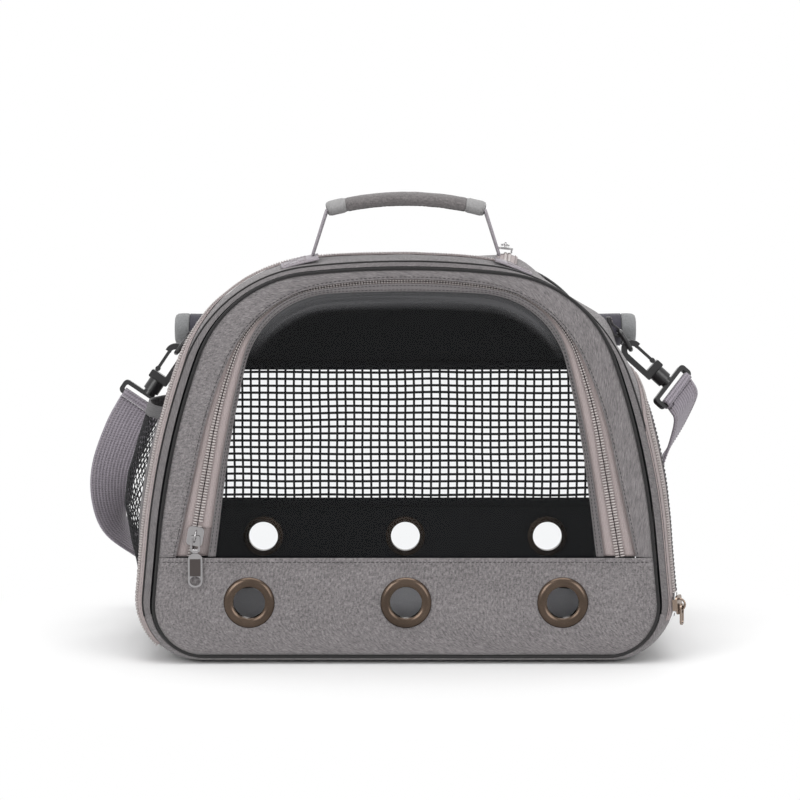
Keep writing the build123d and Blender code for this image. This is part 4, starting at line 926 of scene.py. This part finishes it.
# Back panel, net and its edge
outline, _ = body_outline(PIPING_LAP, PIPING_LAP, PIPING_LAP)
outline = by_share(np.concatenate([outline, outline[:1]]), 281)[:-1]
middle = np.array([0.0, 150.0])
rows = []
for s in np.linspace(0.02, 1.0, 60):
    pairs = middle + (outline - middle) * s
    sag = np.array([rough(x * 0.013, z * 0.013, 9.0) for x, z in pairs]) * 1.0 * min((1 - s) * 6, 1)
    rows.append(at_y(pairs, BACK + 0.6 * min((1 - s) * 12, 1) + sag))
rows = np.array(rows)


def net_half(z):
    t = (z - NET["bottom"]) / (NET["top"] - NET["bottom"])
    return NET["half_bottom"] + (NET["half_top"] - NET["half_bottom"]) * t


def in_net(x, z, grow):
    return NET["bottom"] - grow <= z <= NET["top"] + grow and abs(x) < net_half(z) + grow


panel("back_cloth", rows, "back_panel", (0, 1, 0),
      cells(np.concatenate([rows, rows[:, :1]], axis=1),
            lambda c: not in_net(c[0], c[2], -1.5) and off_eyelets(c, BACK_EYELET, 16.0)),
      closed_columns=True, uvs=rows.reshape(-1, 3)[:, [0, 2]] * MM)


def net_path(grow):
    """Closed outline of the back net, with round corners."""
    z0, z1 = NET["bottom"] - grow, NET["top"] + grow
    a, b = NET["half_bottom"] + grow, NET["half_top"] + grow
    corners = np.array([(-a, z0), (a, z0), (b, z1), (-b, z1)])
    out = []
    for k in range(4):
        out += corner_curve(corners[k - 1], corners[k], corners[(k + 1) % 4], NET["corner"] + grow, 10)
    return resample(out + out[:1], 2.5)


for name, grows, ys, material, nodes, wall, side in (
        ("net_edge_inside", (4.5, 0.0, -3.6), (116.0, 115.6, 116.0), lining, ["back_net_binding"], 0.8, -1),
        ("net_edge_outside", (7.0, 3.5, -2.5), (120.7, 121.6, 120.0), edge, [], 0.9, 1)):
    woven(name, [at_y(by_share(net_path(grow), 260), y) for grow, y in zip(grows, ys)], material, "bag", nodes,
          slot="binding", facing=(0, side, 0), wall=wall)
for name, grow, y in (("net_stitch_outer", 5.6, 122.0), ("net_stitch_inner", -1.0, 121.4)):
    points = at_y(net_path(grow), y)
    stitches(name, points, np.tile((0, 1, 0), (len(points), 1)), thread_dark, "bag")


def net_warp(x, z):
    """Slight unevenness of a net that is sewn in by hand."""
    return x + rough(x * 0.02, z * 0.02, 0.0) * 1.1, z + rough(x * 0.02, z * 0.02, 4.0) * 1.1


def strand(places, half_width, half_depth):
    """Flat thread with a six-sided section along (x, z) places in the net's plane."""
    line = np.array([net_warp(x, z) for x, z in places])
    angles = np.linspace(0, 2 * pi, 6, endpoint=False)
    return grid([[(p[0] + s[0] * cos(a) * half_width, NET_Y + sin(a) * half_depth, p[1] + s[1] * cos(a) * half_width)
                  for a in angles] for p, s in zip(line, left_of(line))], closed_columns=True)


strands = []
height = NET["top"] - NET["bottom"]
for column in range(NET["columns"] + 4):
    x = -NET["half_bottom"] + column * 2 * NET["half_bottom"] / (NET["columns"] + 3)
    limit = NET["top"] + 3 if abs(x) < NET["half_top"] + 3 else NET["bottom"] + (
        (NET["half_bottom"] + 3 - abs(x)) / (NET["half_bottom"] - NET["half_top"])) * height
    limit = min(limit, NET["top"] + 3)
    if limit >= NET["bottom"] + 6:
        strands.append(strand([(x, z) for z in np.linspace(NET["bottom"] - 3, limit, 45)], 0.95, 0.4))
for row in range(NET["rows"] + 1):
    z = NET["bottom"] + row * height / NET["rows"]
    half = net_half(z) + 3
    strands.append(strand([(x, z) for x in np.linspace(-half, half, 110)], 1.05, 0.38))
put("back_mesh", *joined(strands), net_thread, "bag", ["back_net"], slot="net")

# Mat on the floor of the bag
rows = []
for s, z in ((0.0, 29.0), (0.2, 29.2), (0.35, 29.3), (0.5, 29.3), (0.65, 29.2), (0.78, 29.0), (0.88, 28.4),
             (0.94, 26.8), (0.98, 24.0), (1.0, 20.0), (1.0, 13.0), (0.985, 8.8), (0.96, 7.9), (0.5, 7.8), (0.0, 7.8)):
    ring = []
    for k in range(120):
        ca, sa = cos(2 * pi * k / 120), sin(2 * pi * k / 120)
        x, y = MAT_HALF[0] * s * power(ca, 0.32), MAT_HALF[1] * s * power(sa, 0.32)
        dent = 0.0
        if z > 26 and s > 0.01:
            dent = 1.6 * (bump((x + 180) % QUILT_PITCH, QUILT_PITCH / 2, 6) + bump((y + 120) % QUILT_PITCH, 0, 6))
        ring.append((x, y, z - dent * min((1.02 - s) * 8, 1)))
    rows.append(ring)
piece = woven("mat_pad", rows, mat_cloth, "bag", ["floor_mat"], closed_columns=True,
              uvs=np.array(rows).reshape(-1, 3)[:, :2] * MM, slot="mat")

# Curtain rolled up over the net, its ends and ties
rows = []
for k in range(64):
    a = 2 * pi * k / 63 + 0.6
    ring = []
    for x in np.linspace(-ROLL["half"], ROLL["half"], 150):
        radius = ROLL["radius"] - 1.3 + 0.9 * k / 63 + 0.5 * rough(x * 0.03, cos(a) * 1.5, sin(a) * 1.5)
        radius -= 0.7 * (bump(x, -TIE_X, 13) + bump(x, TIE_X, 13))
        ring.append((x, ROLL["y"] + radius * cos(a), ROLL["z"] + radius * sin(a)))
    rows.append(ring)
woven("curtain_cloth", rows, curtain_cloth, "bag", ["curtain_roll"], slot="curtain", wall=0.9)
ends = []
for side in (-1, 1):
    ends.append([[(side * (ROLL["half"] + 0.3 + x), ROLL["y"] + r * cos(a), ROLL["z"] + r * sin(a))
                  for a in np.linspace(0, 2 * pi, 40, endpoint=False)]
                 for x, r in ((0, 11.5), (0.2, 13.0), (1.2, 13.9), (6, 14.0), (10, 13.6), (12.2, 12.2), (12.9, 10.2),
                              (12.4, 7.5), (11.9, 4.0), (12.0, 0.3))])
put("curtain_end_cloth", *joined([grid(end, closed_columns=True) for end in ends]), end_cloth, "bag",
    ["curtain_ends"], np.concatenate([grid_uv(end) for end in ends]), slot="binding")
hoop = ROLL["radius"] + 0.1
path = [(120.6, 263.0), (121.4, 262.2), (126.0, 261.9), (ROLL["y"] - 1.0, ROLL["z"] + hoop + 0.2)]
path += [(ROLL["y"] + hoop * sin(a), ROLL["z"] + hoop * cos(a)) for a in np.linspace(0.1, 2 * pi - 0.75, 40)]
path = resample(path, 1.5)
for side, name, nodes in ((-1, "left", ["curtain_ties"]), (1, "right", [])):
    rows = [[(side * TIE_X + w, y, z) for y, z in path] for w in np.linspace(-TIE_HALF, TIE_HALF, 9)]
    woven("curtain_tie_" + name, rows, edge, "bag", nodes, slot="binding", wall=1.0)


# Mesh pocket on the left side
def pocket_point(a, z):
    """Point of the pocket's skin at a share a from its front edge to its back edge, at a height."""
    depth = POCKET["front"] + (POCKET["back"] - POCKET["front"]) * a - FRONT
    heights = np.linspace(POCKET["low"], POCKET["high"], len(POCKET["bulge"]))
    bulge = float(np.interp(z, heights, POCKET["bulge"]))
    share = sin(pi * a) ** 0.85 if 0 < a < 1 else 0.0
    out = (bulge * share - 0.4) * (1 + 0.05 * rough(a * 4, z * 0.03, 2.0))
    return surf(u_at_height(z, depth, -1), depth, 0.6)[0][0] + np.array([-max(out, 0.0), 0, 0])


skin_a = np.linspace(0, 1, SKIN_STEPS + 1)
skin_z = np.linspace(POCKET["low"], POCKET["high"], SKIN_STEPS + 1)
skin = np.array([[pocket_point(a, z) for a in skin_a] for z in skin_z])


def skin_at(a, z, out=0.0):
    """Point of the pocket's skin looked up between its sampled points, moved outwards."""
    fa = np.clip(a, 0, 1) * SKIN_STEPS
    fz = np.clip((z - POCKET["low"]) / (POCKET["high"] - POCKET["low"]), 0, 1) * SKIN_STEPS
    ia, iz = min(int(fa), SKIN_STEPS - 1), min(int(fz), SKIN_STEPS - 1)
    ta, tz = fa - ia, fz - iz
    return ((skin[iz, ia] * (1 - ta) + skin[iz, ia + 1] * ta) * (1 - tz)
            + (skin[iz + 1, ia] * (1 - ta) + skin[iz + 1, ia + 1] * ta) * tz) - (out, 0, 0)


threads = []
width, height = POCKET["back"] - POCKET["front"], POCKET["high"] - POCKET["low"]
for slope in (1, -1):
    for offset in np.arange(-height, width + height, POCKET_CELL):
        climb = [(offset + slope * z * POCKET_SLOPE, z) for z in np.arange(0, height + 0.1, 2.4)]
        line = np.array([skin_at(y / width, POCKET["low"] + z) for y, z in climb if 0 <= y <= width])
        if len(line) < 4:
            continue
        side = np.array([-1.0, 0, 0])
        threads.append(grid([[p + over * cos(a) * 0.65 + side * sin(a) * 0.4
                              for a in np.linspace(0, 2 * pi, 5, endpoint=False)]
                             for p, over in zip(line, unit(np.cross(tangents(line), side)))], closed_columns=True))
put("pocket_mesh", *joined(threads), net_thread, "bag", ["side_pocket_mesh"], slot="net")
woven("pocket_hem", [[skin_at(a, z, 0.5) for a in skin_a]
                     for z in np.linspace(POCKET["high"] - 10, POCKET["high"] - 0.2, 6)],
      tab_cloth, "bag", ["side_pocket_hem"], slot="binding", wall=1.6, outward=0.0)
edge_path = [(0.0, z) for z in np.linspace(POCKET["high"], POCKET["low"] + 8, 40)]
edge_path += [(a, POCKET["low"] + 1) for a in np.linspace(0.04, 0.96, 40)]
edge_path += [(1.0, z) for z in np.linspace(POCKET["low"] + 8, POCKET["high"], 40)]
outer = np.array([skin_at(a, z, 0.6) for a, z in edge_path])
inner = np.array([skin_at(min(max(a, 0.035), 0.965), max(z, POCKET["low"] + 6), 0.7) for a, z in edge_path])
woven("pocket_edge", [outer * (1 - t) + inner * t for t in (0.0, 0.5, 1.0)], edge, "bag", slot="binding", wall=1.0,
      outward=0.0)

# Handle: anchors on the gusset, webbing legs, wrapped grip with end caps
BOX_STITCH = ((0.34, -12), (0.92, -12), (0.92, 12), (0.34, 12), (0.34, -12), (0.92, 12), (0.92, -12), (0.34, 12))


def anchor_rise(share):
    return 2.6 * (1 - share) ** 1.5


for side, name, nodes in ((-1, "handle_anchor_left", ["handle_anchors"]), (1, "handle_anchor_right", [])):
    u0, u1 = (u_at_x(side * x, HANDLE_DEPTH) for x in ANCHOR_ENDS)
    path = np.stack([np.linspace(u0, u1, 24) * GIRTH, np.full(24, HANDLE_DEPTH)], axis=1)
    ribbon(name, path, (-15, -7, 0, 7, 15), (1.3 + anchor_rise(np.linspace(0, 1, 24)),) * 5, webbing, nodes, 1.5,
           "webbing")
    pairs = resample([((u0 + (u1 - u0) * a) * GIRTH, HANDLE_DEPTH + b) for a, b in BOX_STITCH], 1.5)
    share = np.clip((pairs[:, 0] / GIRTH - u0) / (u1 - u0), 0, 1)
    stitches(name + "_stitch", *on_gusset(pairs, 1.4 + anchor_rise(share)), thread_light, "bag", pitch=3.0,
             length=2.2)
arc_radius = (GRIP_HALF ** 2 + GRIP_RISE ** 2) / (2 * GRIP_RISE)
arc_centre = GRIP_TOP - arc_radius


def grip_frame(x):
    z = arc_centre + sqrt(arc_radius ** 2 - x * x)
    return np.array([x, HANDLE_Y, z]), np.array([x, 0, z - arc_centre]) / arc_radius


def grip_sleeve(name, x0, x1, thick, deep, material, nodes, ridges, slot, count):
    rows = []
    for x in np.linspace(x0, x1, count):
        centre, up = grip_frame(x)
        tuck = 1 - 0.12 * max(1 - min(abs(x - x0), abs(x1 - x)) / 2.5, 0)
        ring = []
        for a in 2 * pi * np.arange(48) / 48:
            wave = tuck * (1 + ridges * rough(x * 0.12, cos(a) * 1.3, sin(a) * 1.3))
            wave *= 1 - 0.05 * bump(degrees(a) % 360, 268, 7)
            ring.append(centre + np.array([0, cos(a) * deep / 2 * wave, 0]) + up * sin(a) * thick / 2 * wave)
        rows.append(ring)
    verts, faces = grid(rows, closed_columns=True)
    put(name, verts, faces + caps(len(verts), 48), material, "handle", nodes, grid_uv(rows), slot=slot)


grip_sleeve("grip_wrap", -47.5, 47.5, 11.2, 30.0, grip_cloth, ["handle_grip"], 0.05, "grey_fabric", 60)
grip_sleeve("grip_cap_left", -61.2, -46.8, 12.0, 30.8, cap_cloth, ["handle_caps"], 0.02, "webbing", 24)
grip_sleeve("grip_cap_right", 46.8, 61.2, 12.0, 30.8, cap_cloth, [], 0.02, "webbing", 24)
grip_sleeve("grip_tip_left", -TIP_END, -TIP_END * 0.985, 10.0, 27.0, black, [], 0.0, "buckle", 6)
grip_sleeve("grip_tip_right", TIP_END * 0.985, TIP_END, 10.0, 27.0, black, [], 0.0, "buckle", 6)
points, ups = [], []
for x in np.linspace(-46, 46, 70):
    centre, up = grip_frame(x)
    points.append(centre + np.array([0, -7.5, 0]) - up * 4.95)
    ups.append(unit(np.array([0, -0.5, 0]) - up))
stitches("grip_stitch", points, ups, thread_dark, "handle")
leg_foot, leg_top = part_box("handle_legs")[0][2] / MM, GRIP_TOP - 8.0
for side, name, nodes in ((-1, "handle_leg_left", ["handle_legs"]), (1, "handle_leg_right", [])):
    rows = []
    for t in np.linspace(0, 1, 26):
        z = leg_foot + (leg_top - leg_foot) * t
        x = side * (LEG_SPREAD[0] + (LEG_SPREAD[1] - LEG_SPREAD[0]) * t)
        reach = z - (leg_foot + 4.0)
        half = sqrt(max(16 - reach * reach, 2.0)) if reach < 0 else 4.0 + 11.0 * min(reach / 30.0, 1.0)
        rows.append([(x - side * 1.2 * cos(w * 1.3), HANDLE_Y + half * w, z) for w in np.linspace(-1, 1, 9)])
    woven(name, rows, webbing, "handle", nodes, uvs=grid_uv(rows)[:, ::-1], slot="webbing", wall=1.8, outward=0.0)

# Shoulder strap and its sewn ends: places along its middle, and the way across it
record = frame["record"]
joint_rows = {row["name"]: row for row in record["behaviour"]["joints"]}
STRAP = [
    ((-237.5, 86.0, 163.0), (0.85, 0.03, -0.52)), ((-249.0, 91.0, 132.0), (0.90, 0.25, -0.36)),
    ((-252.0, 103.0, 103.0), (0.72, 0.66, -0.20)), ((-247.0, 121.0, 77.0), (0.35, 0.93, -0.05)),
    ((-230.0, 140.0, 57.0), (0.05, 0.90, 0.43)), ((-201.0, 157.0, 43.0), (0.0, 0.50, 0.87)),
    ((-160.0, 170.0, 30.0), (0.0, 0.15, 0.99)), ((-105.0, 179.0, 26.0), (0.0, 0.0, 1.0)),
    ((-45.0, 184.0, 25.5), (0.0, 0.0, 1.0)), ((20.0, 185.0, 25.5), (0.0, 0.0, 1.0)),
    ((80.0, 182.0, 25.5), (0.0, 0.0, 1.0)), ((135.0, 174.0, 28.0), (-0.20, 0.05, 0.98)),
    ((178.0, 161.0, 50.0), (-0.45, 0.20, 0.87)), ((208.0, 140.0, 95.0), (-0.15, 0.75, 0.64)),
    ((225.0, 118.0, 138.0), (0.25, 0.88, 0.40)), ((234.0, 101.5, 163.0), (0.42, 0.82, 0.38)),
    ((238.6, 89.0, 184.0), (0.55, 0.62, 0.56)),
]


def smooth_run(rows, steps):
    """Catmull-Rom run through rows of numbers."""
    rows = np.asarray(rows, dtype=float)
    out = []
    for k in range(len(rows) - 1):
        a, b, c, d = rows[max(k - 1, 0)], rows[k], rows[k + 1], rows[min(k + 2, len(rows) - 1)]
        for t in np.linspace(0, 1, steps, endpoint=False):
            out.append(0.5 * (2 * b + (c - a) * t + (2 * a - 5 * b + 4 * c - d) * t * t
                              + (3 * b - a - 3 * c + d) * t ** 3))
    out.append(rows[-1])
    return np.array(out)


ends = []
for side, turn, name in ((-1, 0.0, "left"), (1, RIGHT_TURN, "right")):
    row = joint_rows[name + "_swivel_turn"]
    axis = unit(np.array(row["axis"]))
    angle = atan2(axis[2], abs(axis[0]))
    gate = np.array([side * sin(angle), 0, cos(angle)])
    way = gate * cos(radians(turn)) - np.array([0, -side, 0.0]) * sin(radians(turn))
    bar = np.array(row["pos_m"]) / MM - axis * BAR_REACH
    outward = unit(np.cross(way, axis))
    half_long, half_wide = (BAR_THICK + LOOP_GAP) / 2 + 0.9, (BAR_WIDE + LOOP_GAP) / 2 + 0.9
    path = [bar + axis * half_long * power(cos(a), 0.6) + outward * half_wide * power(sin(a), 0.6)
            for a in np.linspace(0, 2 * pi, 49)]
    rows = [[p + way * w * (STRAP_WIDTH - 0.6) for p in path] for w in np.linspace(-0.5, 0.5, 13)]
    woven("strap_loop_" + name, rows, strap_cloth, name + "_swivel", [name + "_strap_loop"],
          uvs=grid_uv(rows)[:, ::-1], slot="strap_webbing", wall=LOOP_WALL, outward=0.0)
    ends.append((bar - axis * (BAR_THICK / 2 + STRAP_WALL + LOOP_GAP), way * side, axis))
    for lift, letter in ((-3.65, "a"), (3.65, "b")):
        line = [bar - axis * 2.2 + way * w + outward * lift for w in np.linspace(-17, 17, 30)]
        stitches("loop_stitch_%s_%s" % (name, letter), line, np.tile(outward * np.sign(lift), (30, 1)), thread_light,
                 name + "_swivel", pitch=2.6, length=1.9)

route = [(tuple(ends[0][0]), tuple(ends[0][1]))] + STRAP + [(tuple(ends[1][0]), tuple(ends[1][1]))]
line = smooth_run([c + w for c, w in route], 8)
centres, ways = line[:, :3], line[:, 3:]
along = tangents(centres)
along[0], along[-1] = -ends[0][2], ends[1][2]
across = unit(ways - along * np.sum(ways * along, axis=1)[:, None])
through = np.cross(along, across)
rows = [centres + across * w * STRAP_WIDTH + through * 0.5 * (1 - (2 * w) ** 2) for w in np.linspace(-0.5, 0.5, 15)]
strap = woven("strap_cloth", rows, strap_cloth, "bag", ["shoulder_strap"], slot="strap_webbing", wall=STRAP_WALL,
              outward=0.0)
for w, name in ((-0.5 + 3 / 38, "strap_stitch_low"), (0.5 - 3 / 38, "strap_stitch_high")):
    for sign, face in ((1, "_out"), (-1, "_in")):
        points = centres + across * w * STRAP_WIDTH + through * sign * (STRAP_WALL / 2 + 0.1)
        stitches(name + face, points, through * sign, thread_light, "bag", pitch=3.2, length=2.2, lift=0.0)

# Tabs that hold the D-rings
for side, name, nodes in ((-1, "left", ["ring_tabs"]), (1, "right", [])):
    mount = next(row for row in record["mounts"] if row["name"] == name + "_d_ring")
    apex = np.array(mount["pos_m"]) / MM
    angle = radians(RING_LEAN)
    normal = np.array([side * cos(angle), 0, sin(angle)])
    climb = np.array([-side * sin(angle), 0, cos(angle)])
    depth = apex[1] - FRONT
    surface = surf(u_at_height(apex[2], depth, side), depth)[0][0]
    drop = (abs(apex[0]) - abs(surface[0])) * cos(angle) - RING_LIFT
    bar = apex - normal * drop + climb * sqrt(RING_REACH ** 2 - drop ** 2)
    path = [bar + climb * c - normal * n for c, n in ((15, 3.2), (9, 3.3), (3, 3.3))]
    path += [bar - normal * 3.3 * cos(a) - climb * 3.3 * sin(a) for a in np.linspace(0.2, pi - 0.2, 12)]
    path += [bar + climb * c - normal * n for c, n in ((2, -3.0), (7, 0.8), (10, 1.5), (14.5, 1.6))]
    path = resample(path, 1.5)
    woven("ring_tab_" + name, [[p + np.array([0, w, 0]) for p in path] for w in np.linspace(-TAB_HALF, TAB_HALF, 9)],
          tab_cloth, "bag", nodes, slot="webbing", wall=1.6, outward=0.0)
    tab = [(9, -6.5), (9, 6.5), (13.5, 6.5), (13.5, -6.5), (9, -6.5), (13.5, 6.5)]
    line = resample([bar + climb * c - normal * 0.7 + np.array([0, w, 0]) for c, w in tab], 1.0)
    stitches("ring_tab_stitch_" + name, line, np.tile(normal, (len(line), 1)), thread_light, "bag", pitch=2.4,
             length=1.7)


# Floor, lights and camera
def pale_rays(tree):
    """Rays to which the background shows as plain white."""
    rays = add(tree, "LightPath").outputs
    seen = maths(tree, "MAXIMUM", rays["Is Camera Ray"], rays["Is Transmission Ray"])
    return maths(tree, "MAXIMUM", seen, rays["Is Glossy Ray"])


WHITE = (1, 1, 1, 1)
FLOOR_HALF = 6.0
mesh = bpy.data.meshes.new("floor")
mesh.from_pydata([(x * FLOOR_HALF, y * FLOOR_HALF, 0) for x, y in ((-1, -1), (1, -1), (1, 1), (-1, 1))], [],
                 [(0, 1, 2, 3)])
floor = bpy.data.objects.new("floor", mesh)
bpy.context.scene.collection.objects.link(floor)
paper, tree, shader = base_material("floor paper", (0.9, 0.9, 0.9, 1), 0.85)
glow = add(tree, "Emission", {"Color": WHITE, "Strength": 1.0}).outputs[0]
distance = add(tree, "VectorMath", {0: add(tree, "TexCoord").outputs["Object"]}, operation="LENGTH").outputs["Value"]
factor = maths(tree, "MULTIPLY", smooth_step(tree, distance, 0.225, 0.42), pale_rays(tree))
mix = add(tree, "MixShader", {0: factor, 1: shader.outputs[0], 2: glow})
wire(tree, tree.nodes["Material Output"], {"Surface": mix.outputs[0]})
mesh.materials.append(paper)

world = bpy.data.worlds.new("studio")
bpy.context.scene.world = world
world.use_nodes = True
tree = world.node_tree
ambient = wire(tree, tree.nodes["Background"], {"Color": WHITE, "Strength": 0.55}).outputs[0]
white = add(tree, "Background", {"Color": WHITE, "Strength": 1.0}).outputs[0]
mix = add(tree, "MixShader", {0: pale_rays(tree), 1: ambient, 2: white})
wire(tree, tree.nodes["World Output"], {"Surface": mix.outputs[0]})

for name, place, width, height, power_w in (
        ("top_light", (0.0, -0.3, 2.0), 1.8, 1.6, 22), ("front_left_light", (-1.4, -1.9, 1.1), 1.2, 1.4, 20),
        ("front_right_light", (1.5, -1.9, 0.9), 1.2, 1.4, 15), ("back_light", (0.3, 1.9, 1.3), 1.4, 1.2, 12)):
    data = bpy.data.lights.new(name, "AREA")
    data.shape = "RECTANGLE"
    data.size, data.size_y, data.energy = width, height, power_w
    lamp = bpy.data.objects.new(name, data)
    bpy.context.scene.collection.objects.link(lamp)
    lamp.location = place
    lamp.rotation_euler = (Vector((0, 0, 0.2)) - Vector(place)).to_track_quat("-Z", "Y").to_euler()

scene = bpy.context.scene
scene.view_settings.view_transform = "Standard"
camera_data = bpy.data.cameras.new("camera")
camera_data.sensor_width = 36.0
camera_data.lens = 127.7
camera_data.clip_end = 50
camera = bpy.data.objects.new("camera", camera_data)
scene.collection.objects.link(camera)
CAMERA_X = -0.00465
camera.location = (CAMERA_X, -2.32, 0.405)
aim = Vector((CAMERA_X, -0.12, 0.2083))
camera.rotation_euler = (aim - camera.location).to_track_quat("-Z", "Y").to_euler()
scene.camera = camera
